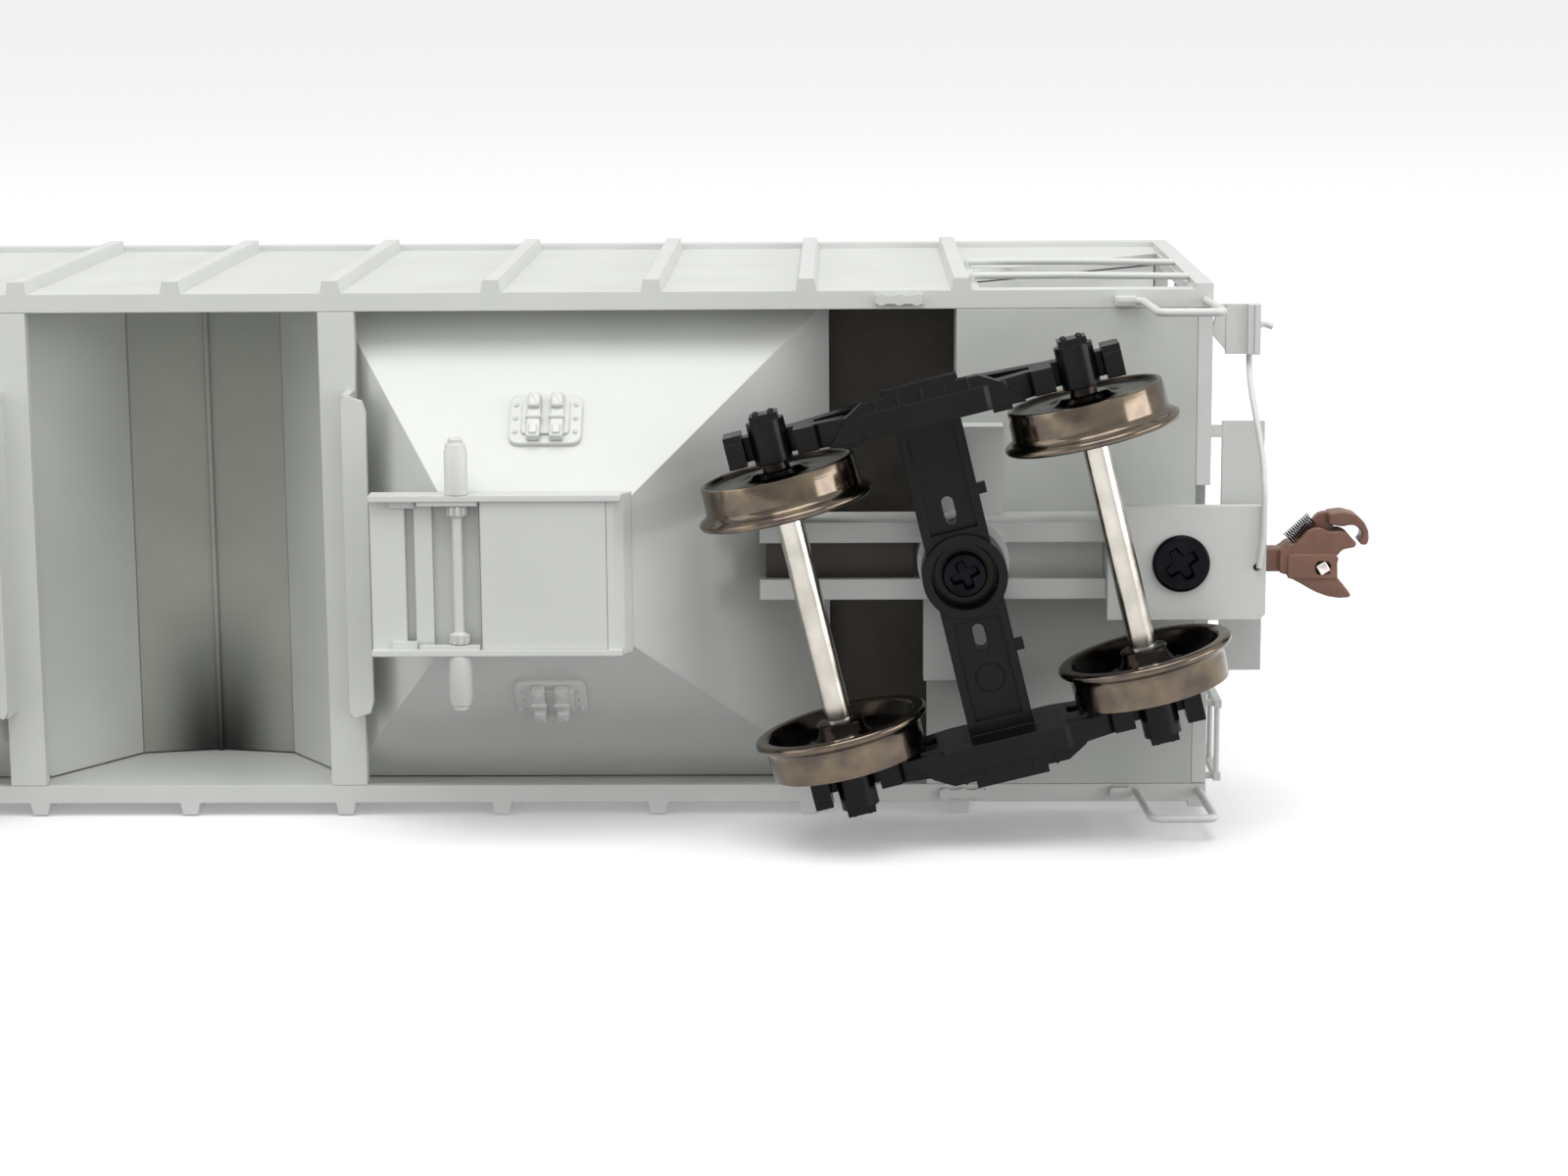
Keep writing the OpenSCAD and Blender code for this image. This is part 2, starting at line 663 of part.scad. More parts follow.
// A ladder at one side of each end: two stiles on feet, with rungs between them
module end_ladders() {
    x = end_x + 0.9;
    y0 = 11.2;
    y1 = 16.4;
    rungs = 8;
    first = sill_z + 1.6;
    last = eave_z - 2.2;
    color(body_color) both_ends() union() {
        for (y = [y0, y1]) {
            block([x - 0.25, y - 0.25, first - 0.6], [x + 0.25, y + 0.25, last + 0.6]);
            for (z = [first, last]) block([end_x, y - 0.2, z - 0.2], [x, y + 0.2, z + 0.2]);
        }
        for (k = [0:rungs - 1])
            bar_y(0.2, x, first + k * (last - first) / (rungs - 1), y0, y1, 16);
    }
}

// ---------------------------------------------------------------- hand brake and air brake, end B

brake_y = 9.4;
brake_z = 36;

module brake_housing() {
    color(body_color) union() {
        block([-end_x - 1.7, brake_y - 2.2, brake_z - 2.6], [-end_x - 0.5, brake_y + 2.2, brake_z + 2.6]);
        for (z = [brake_z - 5, brake_z + 9.4])
            block([-end_x - 0.8, 6.3, z - 0.5], [-end_x, 7.2, z + 0.5]);
        block([-end_x - 0.8, 6.3, brake_z - 5.4], [-end_x - 0.5, 7.6, brake_z + 9.8]);
        bar_x(0.35, brake_y, brake_z, -end_x - 2.3, -end_x - 1.6);
    }
}

// Five-spoked brake wheel on its stub shaft
module brake_wheel() {
    rim = 3.1;
    color(body_color) translate([-end_x - 2.62, brake_y, brake_z]) rotate([0, 90, 0]) union() {
        rotate_extrude($fn = 64) translate([rim, 0]) circle(r = 0.25, $fn = 16);
        difference() {
            translate([0, 0, -0.35]) cylinder(r = 0.75, h = 0.65, $fn = 32);
            translate([0, 0, -0.05]) cylinder(r = 0.36, h = 1, $fn = 24);
        }
        for (k = [0:4]) rotate([0, 0, 72 * k]) block([0.6, -0.17, -0.15], [rim - 0.1, 0.17, 0.15]);
    }
}

// Tank on two cradles, lying across the end platform
module air_reservoir() {
    x = -80.6;
    z = 19.4;
    color(body_color) union() {
        bar_y(2.3, x, z, -10.5, 2.5, 48);
        bar_y(1.7, x, z, -11.1, -10.4, 48);
        bar_y(1.7, x, z, 2.4, 3.1, 48);
        for (y = [-8.5, 0.5]) block([x - 1.5, y - 0.5, sill_z + platform_t], [x + 1.5, y + 0.5, z - 1.4]);
    }
}

// Cylinder along the car, with its push rod
module brake_cylinder() {
    y = 8.2;
    z = 19.2;
    color(body_color) union() {
        bar_x(2.0, y, z, -85.5, -80.5, 48);
        bar_x(2.3, y, z, -85.9, -85.3, 48);
        bar_x(0.4, y, z, -80.6, -77.4, 24);
        block([-84.6, y - 1.2, sill_z + platform_t], [-82.2, y + 1.2, z - 1.3]);
    }
}

module control_valve() {
    color(body_color) union() {
        block([-88.4, -4.6, sill_z + platform_t], [-85.6, -1.4, 18.6]);
        block([-87.8, -6.2, 16.2], [-86.2, -4.5, 18.2]);
        bar_y(0.8, -87, 17.2, -1.5, -0.4, 32);
        bar_x(0.7, -3, 17.6, -89.4, -88.3, 32);
    }
}

// Pipes from the valve to the tank and to the cylinder
module brake_pipes() {
    color(body_color) union() {
        bent_wire([[-85.58, -3, 17.6], [-84.4, -3, 17.6], [-83.8, -3, 18.1], [-83.4, -3, 19.1], [-82.92, -3, 19.4]], 0.45, [0, 1, 0]);
        bent_wire([[-87, -0.38, 17.2], [-87, 5.2, 17.2], [-87, 6.6, 17.8], [-87, 7.4, 18.9],
            [-87, 7.4, 20.2]], 0.45, [1, 0, 0]);
    }
}

// ---------------------------------------------------------------- trucks

// Places a truck's parts round its kingpin at end A, turned by its swivel
module at_truck_a() {
    translate([bolster_x, pin_side, 0]) rotate([0, 0, truck_a_yaw]) children();
}

// Places a truck's parts round its kingpin at end B, in line with the car
module at_truck_b() {
    translate([-bolster_x, pin_side, 0]) children();
}

module truck_screws() {
    module one() {
        color(plastic_black) translate([0, 0, 6.6]) difference() {
            union() {
                cylinder(r1 = 1.2, r2 = 1.5, h = 0.35, $fn = 48);
                translate([0, 0, 0.35]) cylinder(r = 1.5, h = 0.65, $fn = 48);
                translate([0, 0, 0.9]) cylinder(r = kingpin_r - 0.05, h = 5.9, $fn = 48);
            }
            cross_recess(1.7, 0.6);
        }
    }
    at_truck_a() one();
    at_truck_b() one();
}

module screw_washers() {
    module one() {
        color(steel_dark) translate([0, 0, 7.62]) difference() {
            cylinder(r = 2.0, h = 0.25, $fn = 48);
            translate([0, 0, -1]) cylinder(r = kingpin_r - 0.05, h = 3, $fn = 48);
        }
    }
    at_truck_a() one();
    at_truck_b() one();
}

// Half outline of a side frame, x-z, from the spring nest out past the pedestal's two jaws
module side_frame_half() {
    j = wheelbase / 2;
    polygon([[-0.1, 3.7], [4.05, 3.7], [5.6, 4.6], [j - 3.1, 5.2], [j - 3.1, 4.8], [j - 1.7, 4.8],
        [j - 1.7, 7.0], [j + 1.75, 7.0], [j + 1.75, 4.8], [j + 2.95, 4.8], [j + 2.95, 7.6], [j + 2.4, 8.4],
        [j - 1.9, 8.5], [5.2, 9.9], [3.6, 10.5], [-0.1, 10.5]]);
}

module side_frame_windows() {
    polygon([[4.5, 8.7], [7.3, 7.6], [7.3, 6.5], [4.5, 5.9]]);
    translate([-2.9, 4.9]) square([2.9, 3.0]);
}

// One moulded side frame at +y: arch, spring nest, jaws and bearing columns
module side_frame() {
    j = wheelbase / 2;
    rib = 1.55;
    difference() {
        union() {
            plate_y(frame_in, frame_out) for (s = [0, 1]) mirror([s, 0]) difference() {
                side_frame_half();
                side_frame_windows();
            }
            for (x = [-1.95, 0, 1.95]) translate([x, frame_out - 0.75, 4.8]) cylinder(r = 0.7, h = 3.2, $fn = 24);
            for (s = [-1, 1]) {
                bar_y(1.28, s * j, axle_z, frame_in - 0.2, frame_out + 1);
                block([s * j - 0.95, frame_out + 0.9, axle_z - 0.95], [s * j + 0.95, frame_out + 1.45, axle_z + 0.95]);
                block([s * (j + 2.35) - 0.6, frame_in, 4.9], [s * (j + 2.35) + 0.6, frame_out + 0.5, 7.4]);
                block([s * 5 - 0.65, frame_in - 0.3, 4.1], [s * 5 + 0.65, frame_in + 0.45, 5.6]);
            }
            // Belly under the spring nest, drawn in towards the arms
            translate([0, 0, 3.9]) linear_extrude(1.1) polygon([
                [-6.6, frame_in], [-5.2, frame_out], [-3.9, frame_out + 0.75], [3.9, frame_out + 0.75],
                [5.2, frame_out], [6.6, frame_in]]);
            // Ribs under the belly and the rim outside it
            for (k = [-2:2]) block([k * rib - 0.1, frame_out - 0.1, 3.75], [k * rib + 0.1, frame_out + 0.8, 4.5]);
            block([-2.45, frame_out + 0.7, 3.9], [2.45, frame_out + 1.25, 4.95]);
            block([-2.6, frame_out - 0.1, 8.1], [2.6, frame_out + 0.6, 10.0]);
        }
        // Sockets that the pointed axle ends run in
        for (s = [-1, 1]) translate([s * j, 0, axle_z]) rotate([-90, 0, 0]) {
            translate([0, 0, frame_in - 0.3]) cylinder(r = 1.05, h = 0.9, $fn = 48);
            translate([0, 0, frame_in + 0.59]) cylinder(r1 = 1.05, r2 = 0.05, h = 1.7, $fn = 48);
        }
    }
}

// Side frames and bolster of one truck, in one moulding
module truck_frame() {
    slot_y = 4.44;
    color(plastic_black) difference() {
        union() {
            side_frame();
            rotate([0, 0, 180]) side_frame();
            block([-2.2, -frame_in - 0.1, bolster_foot], [2.2, frame_in + 0.1, bolster_top]);
            translate([0, 0, 6.0]) cylinder(r = 2.85, h = bolster_top - 6.0, $fn = 64);
            both_sides() block([2.1, 5.1, bolster_foot + 0.4], [2.75, 5.8, bolster_foot + 1.2]);
        }
        translate([0, 0, 5]) cylinder(r = 2.25, h = 2.9, $fn = 48);
        translate([0, 0, 5]) cylinder(r = kingpin_r, h = 6, $fn = 48);
        both_sides() {
            block([-1.6, 3.1, bolster_foot - 1], [1.6, frame_in - 0.9, bolster_foot + 0.55]);
            block([-0.4, slot_y - 0.6, 5], [0.4, slot_y + 0.6, 11]);
            for (s = [-1, 1]) translate([0, slot_y + s * 0.6, 5]) cylinder(r = 0.4, h = 6, $fn = 24);
        }
    }
}

module truck_frame_a() { at_truck_a() truck_frame(); }
module truck_frame_b() { at_truck_b() truck_frame(); }

// Pointed axle along y
module axle() {
    shoulder = axle_tip - cone_len;
    color(nickel) translate([0, end_play, axle_z]) rotate([-90, 0, 0]) rotate_extrude($fn = 64) polygon([
        [0, -axle_tip], [axle_r, -shoulder], [axle_r, shoulder], [0, axle_tip]]);
}

// Two wheels, backs facing each other: hub, dished web, rim, tread and flange
module wheels() {
    back = back_to_back / 2;
    face = back + wheel_w;
    rim = 4.35;
    color(wheel_bronze) translate([0, end_play, axle_z]) both_sides() rotate([-90, 0, 0])
        rotate_extrude($fn = 96) polygon([
            [axle_r, back - 0.2], [1.5, back - 0.2], [1.9, back + 0.9], [rim - 0.6, back + 1.2], [rim, back],
            [flange_r - 0.3, back], [flange_r, back + 0.25], [flange_r, back + 0.45],
            [tread_r + 0.15, back + flange_w], [tread_r, back + flange_w + 0.15], [tread_r - 0.06, face - 0.15],
            [tread_r - 0.25, face], [rim, face], [rim - 0.3, face - 0.7], [2.2, face - 0.9],
            [1.5, face + 0.05], [axle_r, face + 0.05]]);
}

module axle_a1() { at_truck_a() translate([wheelbase / 2, 0, 0]) axle(); }
module axle_a2() { at_truck_a() translate([-wheelbase / 2, 0, 0]) axle(); }
module axle_b1() { at_truck_b() translate([-wheelbase / 2, 0, 0]) axle(); }
module axle_b2() { at_truck_b() translate([wheelbase / 2, 0, 0]) axle(); }
module wheels_a1() { at_truck_a() translate([wheelbase / 2, 0, 0]) wheels(); }
module wheels_a2() { at_truck_a() translate([-wheelbase / 2, 0, 0]) wheels(); }
module wheels_b1() { at_truck_b() translate([-wheelbase / 2, 0, 0]) wheels(); }
module wheels_b2() { at_truck_b() translate([wheelbase / 2, 0, 0]) wheels(); }

// ---------------------------------------------------------------- couplers

rivet_x = 99.5;
rivet_y = 0.4;
rivet_r = 0.4;

// Shank with its pivot eye, and the head with its guard arm and the slot for the knuckle
module coupler() {
    color(coupler_brown) difference() {
        union() {
            translate([coupler_x, 0, coupler_z - 0.8]) cylinder(r = 2.2, h = 1.6, $fn = 48);
            block([coupler_x, -0.85, coupler_z - 0.8], [97.2, 0.85, coupler_z + 0.8]);
            translate([0, 0, coupler_z - 1.5]) linear_extrude(3) polygon([
                [96.6, -0.8], [97.1, -1.3], [98.7, -0.75], [100.7, -0.75], [100.9, -0.5], [100.9, 0.95],
                [101.15, 1.7], [101.7, 2.15], [101.6, 2.5], [100.8, 2.55], [99.6, 2.2], [98.4, 1.5],
                [97.3, 1.15], [96.6, 0.8]]);
        }
        translate([coupler_x, 0, coupler_z - 3]) cylinder(r = 1.4, h = 6, $fn = 48);
        // Slot that the knuckle's tail turns in, between the head's two cheeks
        translate([0, 0, coupler_z - 0.75]) linear_extrude(1.5) polygon([
            [98.2, -3], [98.2, -0.4], [98.9, 1.35], [102, 1.35], [102, -3]]);
        translate([rivet_x, rivet_y, coupler_z - 3]) cylinder(r = rivet_r + 0.01, h = 6, $fn = 32);
    }
}

// Hooked jaw that swings outwards round the rivet
module knuckle() {
    color(coupler_brown) difference() {
        union() {
            translate([rivet_x, rivet_y, coupler_z - 0.68]) cylinder(r = 0.8, h = 1.36, $fn = 32);
            translate([0, 0, coupler_z - 0.68]) linear_extrude(1.36) polygon([
                [98.9, 0.2], [98.75, -0.6], [98.85, -1.2], [100.4, -1.2], [100.3, 0.2]]);
            translate([0, 0, coupler_z - 1.3]) linear_extrude(2.6) polygon([
                [98.9, -1.15], [98.6, -1.9], [99.1, -2.6], [99.9, -3.2], [101.2, -3.1], [102.1, -2.5],
                [102.6, -1.6], [102.5, -0.9], [102.25, -0.75], [101.95, -1.0], [102.0, -1.6], [101.6, -2.1],
                [101.0, -2.2], [100.9, -1.9], [101.6, -1.3], [101.45, -0.95], [100.9, -0.95]]);
        }
        translate([rivet_x, rivet_y, coupler_z - 3]) cylinder(r = rivet_r + 0.05, h = 6, $fn = 32);
    }
}

module knuckle_rivet() {
    color(nickel) union() {
        translate([rivet_x, rivet_y, coupler_z - 1.5]) cylinder(r = rivet_r, h = 3, $fn = 32);
        translate([rivet_x, rivet_y, coupler_z - 1.66]) rotate([0, 0, 25])
            translate([-0.3, -0.3, 0]) cube([0.6, 0.6, 0.2]);
    }
}

// Fine coil between the shank and the knuckle's back, as the cylinder that it fills
module knuckle_spring() {
    color(plastic_black) translate([97.42, -1.42, coupler_z]) rotate([0, 0, -36]) rotate([0, 90, 0])
        cylinder(r = 0.4, h = 1.2, $fn = 24);
}

module coupler_a() { coupler(); }
module coupler_b() { rotate([0, 0, 180]) coupler(); }
module knuckle_a() { knuckle(); }
module knuckle_b() { rotate([0, 0, 180]) knuckle(); }
module knuckle_rivet_a() { knuckle_rivet(); }
module knuckle_rivet_b() { rotate([0, 0, 180]) knuckle_rivet(); }
module knuckle_spring_a() { knuckle_spring(); }
module knuckle_spring_b() { rotate([0, 0, 180]) knuckle_spring(); }

// ---------------------------------------------------------------- nodes

side_a();
side_b();
roof();
hatch_covers();
running_boards();
end_slope_a();
end_slope_b();
end_frame_a();
end_frame_b();
ridge_sheets();
ballast_weights();
crossbearers();
hopper_bay_a();
hopper_bay_center();
hopper_bay_b();
inspection_plates();
gate_frame_a();
gate_frame_center();
gate_frame_b();
gate_plates();
gate_shafts();
end_platforms();
center_sills();
draft_boxes();
draft_covers();
cover_screws();
centering_springs();
crossover_platforms();
corner_brackets();
uncoupling_levers();
stirrup_steps();
side_rails();
end_ladders();
brake_wheel();
brake_housing();
brake_cylinder();
air_reservoir();
control_valve();
brake_pipes();
jacking_pads();
truck_screws();
screw_washers();
truck_frame_a();
truck_frame_b();
axle_a1();
wheels_a1();
axle_a2();
wheels_a2();
axle_b1();
wheels_b1();
axle_b2();
wheels_b2();
coupler_a();
knuckle_a();
knuckle_spring_a();
knuckle_rivet_a();
coupler_b();
knuckle_b();
knuckle_spring_b();
knuckle_rivet_b();
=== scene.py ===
# %% [markdown]
# # A covered hopper car for a model railway
# The car is an HO-scale covered hopper: grey moulded body, black trucks, bronze-tinted wheels
# and brown couplers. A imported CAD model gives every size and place, and moves on its joints.
# Blender adds what the eye expects close up: turned metal, coils, bent wires, rounded
# mouldings, gratings and paint. Lengths below are in millimetres until a mesh is made.

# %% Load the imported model
import json
import math

import bmesh
import bpy
import numpy as np
from mathutils import Matrix, Vector


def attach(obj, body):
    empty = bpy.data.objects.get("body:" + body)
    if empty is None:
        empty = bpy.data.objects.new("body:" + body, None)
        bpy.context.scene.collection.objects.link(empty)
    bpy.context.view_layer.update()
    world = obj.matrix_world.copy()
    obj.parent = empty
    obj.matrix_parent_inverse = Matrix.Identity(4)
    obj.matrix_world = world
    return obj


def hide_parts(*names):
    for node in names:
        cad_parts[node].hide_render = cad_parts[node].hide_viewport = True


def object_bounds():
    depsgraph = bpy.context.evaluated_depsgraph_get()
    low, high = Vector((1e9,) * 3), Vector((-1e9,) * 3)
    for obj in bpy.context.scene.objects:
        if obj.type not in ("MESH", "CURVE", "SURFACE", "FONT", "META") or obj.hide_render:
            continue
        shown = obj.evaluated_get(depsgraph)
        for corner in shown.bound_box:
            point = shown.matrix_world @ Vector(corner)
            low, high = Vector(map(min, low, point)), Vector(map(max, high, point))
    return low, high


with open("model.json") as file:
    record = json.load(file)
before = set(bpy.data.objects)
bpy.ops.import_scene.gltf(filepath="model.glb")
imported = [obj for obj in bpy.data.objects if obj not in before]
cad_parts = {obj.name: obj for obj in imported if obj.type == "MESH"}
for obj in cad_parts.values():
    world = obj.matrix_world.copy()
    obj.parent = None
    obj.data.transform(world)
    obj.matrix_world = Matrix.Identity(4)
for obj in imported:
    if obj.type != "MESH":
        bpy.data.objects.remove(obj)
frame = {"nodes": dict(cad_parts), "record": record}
cad_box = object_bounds()
MM = 0.001
nodes = frame["nodes"]
print("CAD box in mm:", [[round(v / MM, 2) for v in corner] for corner in cad_box])

# %% [markdown]
# ## The camera
# The car lies on its side, and the lens looks at its underside from a little above. A long
# lens, 78 mm on a 36 mm sensor, keeps the posts nearly parallel, as in a catalogue view.

# %% Place the camera
LENS = 78.173
EYE = Vector((67.107, -40.791, -216.400)) * MM
TURN_AXIS = Vector((0.18609384, 0.01643013, -0.00506789))


def make_camera():
    """The world turns by the vector TURN_AXIS to face the lens, whose x is right, y down and
    z ahead. Blender's own camera axes are x right, y up and z back."""
    data = bpy.data.cameras.new("camera")
    data.lens = LENS
    data.sensor_width = 36.0
    data.clip_start = 1 * MM
    data.clip_end = 20.0
    cam = bpy.data.objects.new("camera", data)
    bpy.context.scene.collection.objects.link(cam)
    facing = Matrix.Rotation(-TURN_AXIS.length, 3, TURN_AXIS.normalized())
    lens_axes = Matrix.Diagonal((1, -1, -1))
    cam.matrix_world = Matrix.Translation(EYE) @ (facing @ lens_axes).to_4x4()
    bpy.context.scene.camera = cam
    return cam


camera = make_camera()
print("camera looks along", [round(v, 3) for v in -camera.matrix_world.col[2].xyz])

# %% [markdown]
# ## Nodes and colours
# Every finish is built from shader nodes. One function adds a node, sets its sockets and
# links it, and another turns an sRGB hex colour into the linear numbers that shaders use.

# %% Helpers for finishes
def linear(hex_colour):
    """Each sRGB channel c becomes c / 12.92 near black, and above it
    ((c + 0.055) / 1.055) ** 2.4."""
    c = np.array([int(hex_colour[i:i + 2], 16) for i in (1, 3, 5)]) / 255
    return (*np.where(c <= 0.04045, c / 12.92, ((c + 0.055) / 1.055) ** 2.4), 1.0)


def add(tree, kind, sockets=None, **settings):
    """Adds a node; a socket is set to a value, or linked where it is given (node, output)."""
    node = tree.nodes.new(kind)
    for name, value in settings.items():
        setattr(node, name, value)
    for name, value in (sockets or {}).items():
        if isinstance(value, tuple) and isinstance(value[0], bpy.types.Node):
            tree.links.new(value[0].outputs[value[1]], node.inputs[name])
        else:
            node.inputs[name].default_value = value
    return node


def ramp(tree, source, stops):
    """A colour ramp on source's first output; stops are (place, hex colour) pairs."""
    node = add(tree, "ShaderNodeValToRGB", {"Fac": (source, 0)})
    for stop, (place, colour) in zip(node.color_ramp.elements, stops):
        stop.position, stop.color = place, linear(colour)
    return node


def new_finish(name, **shader):
    """A material with its shader; keys are socket names with _ for a space."""
    mat = bpy.data.materials.new(name)
    mat.use_nodes = True
    tree = mat.node_tree
    tree.nodes.clear()
    sockets = {key.replace("_", " "): value for key, value in shader.items()}
    surface = add(tree, "ShaderNodeBsdfPrincipled", sockets)
    add(tree, "ShaderNodeOutputMaterial", {"Surface": (surface, "BSDF")})
    coords = add(tree, "ShaderNodeTexCoord")
    return mat, tree, surface, coords


def link(tree, source, output, node, socket):
    """Joins one node's output to another node's socket."""
    tree.links.new(source.outputs[output], node.inputs[socket])


print("finish helpers ready")

# %% [markdown]
# ## Moulded plastics
# The body is injection-moulded styrene with a satin light grey coat, the trucks are bare black
# acetal with a soft gloss, and the couplers are brown acetal. A mould's edges are never sharp,
# so a Bevel node rounds the shading by a tenth of a millimetre, and a fine noise gives the
# slight orange peel of sprayed paint. A slow noise keeps big panels from looking flat.

# %% Moulded plastic finishes
def moulded(name, colours, roughness, peel_mm, peel_depth, edge_mm, patch_mm=6.0, **shader):
    """Noise of patch_mm tints and dulls the surface, and noise of peel_mm gives its bump."""
    mat, tree, surface, coords = new_finish(name, Roughness=roughness, **shader)
    patch = add(tree, "ShaderNodeTexNoise", {
        "Vector": (coords, "Object"), "Scale": 1 / (patch_mm * MM), "Detail": 3.0})
    colour = ramp(tree, patch, [(0.3, colours[0]), (0.7, colours[1])])
    link(tree, colour, "Color", surface, "Base Color")
    dull = add(tree, "ShaderNodeMapRange", {
        "Value": (patch, 0), "From Min": 0.3, "From Max": 0.7,
        "To Min": roughness - 0.04, "To Max": roughness + 0.05})
    link(tree, dull, 0, surface, "Roughness")
    peel = add(tree, "ShaderNodeTexNoise", {
        "Vector": (coords, "Object"), "Scale": 1 / (peel_mm * MM), "Detail": 2.0})
    edge = add(tree, "ShaderNodeBevel", {"Radius": edge_mm * MM}, samples=4)
    bump = add(tree, "ShaderNodeBump", {
        "Height": (peel, 0), "Strength": 1.0, "Distance": peel_depth * MM,
        "Normal": (edge, "Normal")})
    link(tree, bump, "Normal", surface, "Normal")
    return mat


# Sprayed light grey paint: a warm satin with a slight peel. Real peel is about 0.1 mm across;
# it is drawn at 0.22 mm so that it shows.
grey_paint = moulded("satin_grey_paint_on_styrene", ("#C6C8C5", "#CACCC9"), 0.4,
                     peel_mm=0.22, peel_depth=0.004, edge_mm=0.12, IOR=1.5)
# The end platforms are a darker and duller grey than the rest of the body
platform_grey = moulded("darker_grey_on_platforms", ("#B3B6B2", "#BCBEBA"), 0.46,
                 peel_mm=0.22, peel_depth=0.004, edge_mm=0.12, IOR=1.5)
# Black acetal: bare moulding, darker and glossier than paint
black_acetal = moulded("black_acetal_moulding", ("#08080A", "#0F0F12"), 0.27,
                       peel_mm=0.35, peel_depth=0.006, edge_mm=0.14, patch_mm=3, IOR=1.48,
                       Specular_IOR_Level=0.18)
# Brown acetal: bare rust-brown moulding with a waxy sheen
brown_acetal = moulded("brown_acetal_moulding", ("#664638", "#7B5546"), 0.33,
                       peel_mm=0.3, peel_depth=0.008, edge_mm=0.06, patch_mm=1.5, IOR=1.48)


# Where the painted shade deep in the gaps lies, in mm
GAP_MIDDLE = 21.47
SHADE_NEAR, SHADE_FAR = 1.0, 5.5
SHADE_SIDE = (2, 17)


def painted_gap_shade_finish():
    """Painted shade deep in the gaps, over a grey that is itself darker than the body's: dark =
    s(y) * (1 - 0.8 s(| |x| - GAP_MIDDLE |)), where s is a smooth step towards one side of the
    car, or away from the gap's middle line."""
    mat = moulded("grey_paint_with_painted_gap_shade", ("#A2A59C", "#ACAFA6"), 0.5, peel_mm=0.22,
                  peel_depth=0.004, edge_mm=0.12, IOR=1.5)
    tree = mat.node_tree
    surface = next(n for n in tree.nodes if n.type == "BSDF_PRINCIPLED")
    painted = surface.inputs["Base Color"].links[0].from_node
    coords = next(n for n in tree.nodes if n.type == "TEX_COORD")
    at = add(tree, "ShaderNodeSeparateXYZ", {"Vector": (coords, "Object")})
    along = add(tree, "ShaderNodeMath", {0: (at, "X")}, operation="ABSOLUTE")
    past = add(tree, "ShaderNodeMath", {0: (along, 0), 1: GAP_MIDDLE * MM},
               operation="SUBTRACT")
    away = add(tree, "ShaderNodeMath", {0: (past, 0)}, operation="ABSOLUTE")
    middle = add(tree, "ShaderNodeMapRange", {
        "Value": (away, 0), "From Min": SHADE_NEAR * MM, "From Max": SHADE_FAR * MM,
        "To Min": 1.0, "To Max": 0.2}, interpolation_type="SMOOTHSTEP")
    low = add(tree, "ShaderNodeMapRange", {
        "Value": (at, "Y"), "From Min": SHADE_SIDE[0] * MM, "From Max": SHADE_SIDE[1] * MM},
        interpolation_type="SMOOTHSTEP")
    dark = add(tree, "ShaderNodeMath", {0: (middle, 0), 1: (low, 0)}, operation="MULTIPLY")
    # The colour of the painted shade at its darkest
    shade_tint = ramp(tree, dark, [(0.0, "#FFFFFF"), (1.0, "#23231F")])
    mixed = add(tree, "ShaderNodeMix", data_type="RGBA", blend_type="MULTIPLY")
    mixed.inputs[0].default_value = 1.0
    tree.links.new(painted.outputs["Color"], mixed.inputs[6])
    tree.links.new(shade_tint.outputs["Color"], mixed.inputs[7])
    tree.links.new(mixed.outputs[2], surface.inputs["Base Color"])
    return mat


# The ridge sheets' grey, darkened by painted shade deep in the gaps
gap_shade_paint = painted_gap_shade_finish()
print("plastics:", grey_paint.name, black_acetal.name, brown_acetal.name)

# %% [markdown]
# ## Metals
# Axles are turned steel plated with bright nickel, wheel treads are the same metal chemically
# tinted bronze, and wheel backs are blackened to a dark gloss. Lathe work leaves fine rings
# about the axle, so a noise stretched into thin bands along the axle's line gives the bump.
# One end's truck stands turned, so each end has its own copy with the bands turned with it.
# The screws are blackened steel, and the ballast is raw steel gone brown.

# %% Metal finishes
TRUCK_A_YAW = math.radians(-13.6)


def turned(name, colours, roughness, yaw, ring_mm=0.08, ring_depth=0.0015, **shader):
    """Bands ring_mm wide across the turned Y axis, over a slow tint that clouds the plating."""
    mat, tree, surface, coords = new_finish(name, Metallic=1.0, Roughness=roughness, **shader)
    aim = add(tree, "ShaderNodeMapping", {"Vector": (coords, "Object"),
                                          "Rotation": (0.0, 0.0, -yaw)})
    cloud = add(tree, "ShaderNodeTexNoise", {
        "Vector": (aim, 0), "Scale": 1 / (1.8 * MM), "Detail": 4.0})
    colour = ramp(tree, cloud, [(0.32, colours[0]), (0.68, colours[1])])
    link(tree, colour, "Color", surface, "Base Color")
    squeeze = add(tree, "ShaderNodeMapping", {
        "Vector": (aim, 0), "Scale": (0.03 / MM, 1 / (ring_mm * MM), 0.03 / MM)})
    rings = add(tree, "ShaderNodeTexNoise", {"Vector": (squeeze, 0), "Scale": 1.0,
                                             "Detail": 2.0})
    bump = add(tree, "ShaderNodeBump", {
        "Height": (rings, 0), "Strength": 1.0, "Distance": ring_depth * MM})
    link(tree, bump, "Normal", surface, "Normal")
    dull = add(tree, "ShaderNodeMapRange", {
        "Value": (cloud, 0), "From Min": 0.3, "From Max": 0.7,
        "To Min": roughness * 0.8, "To Max": roughness * 1.3})
    link(tree, dull, 0, surface, "Roughness")
    return mat


yaws = {"a": TRUCK_A_YAW, "b": 0.0}
# Bright nickel plate: near white, with long clear streaks. Its turning marks, 0.02 mm apart in
# truth, are drawn at 0.08 mm so that they show.
bright_nickel = {e: turned("bright_nickel_axle_" + e, ("#B7B2A8", "#CFCAC1"), 0.17, y)
                 for e, y in yaws.items()}
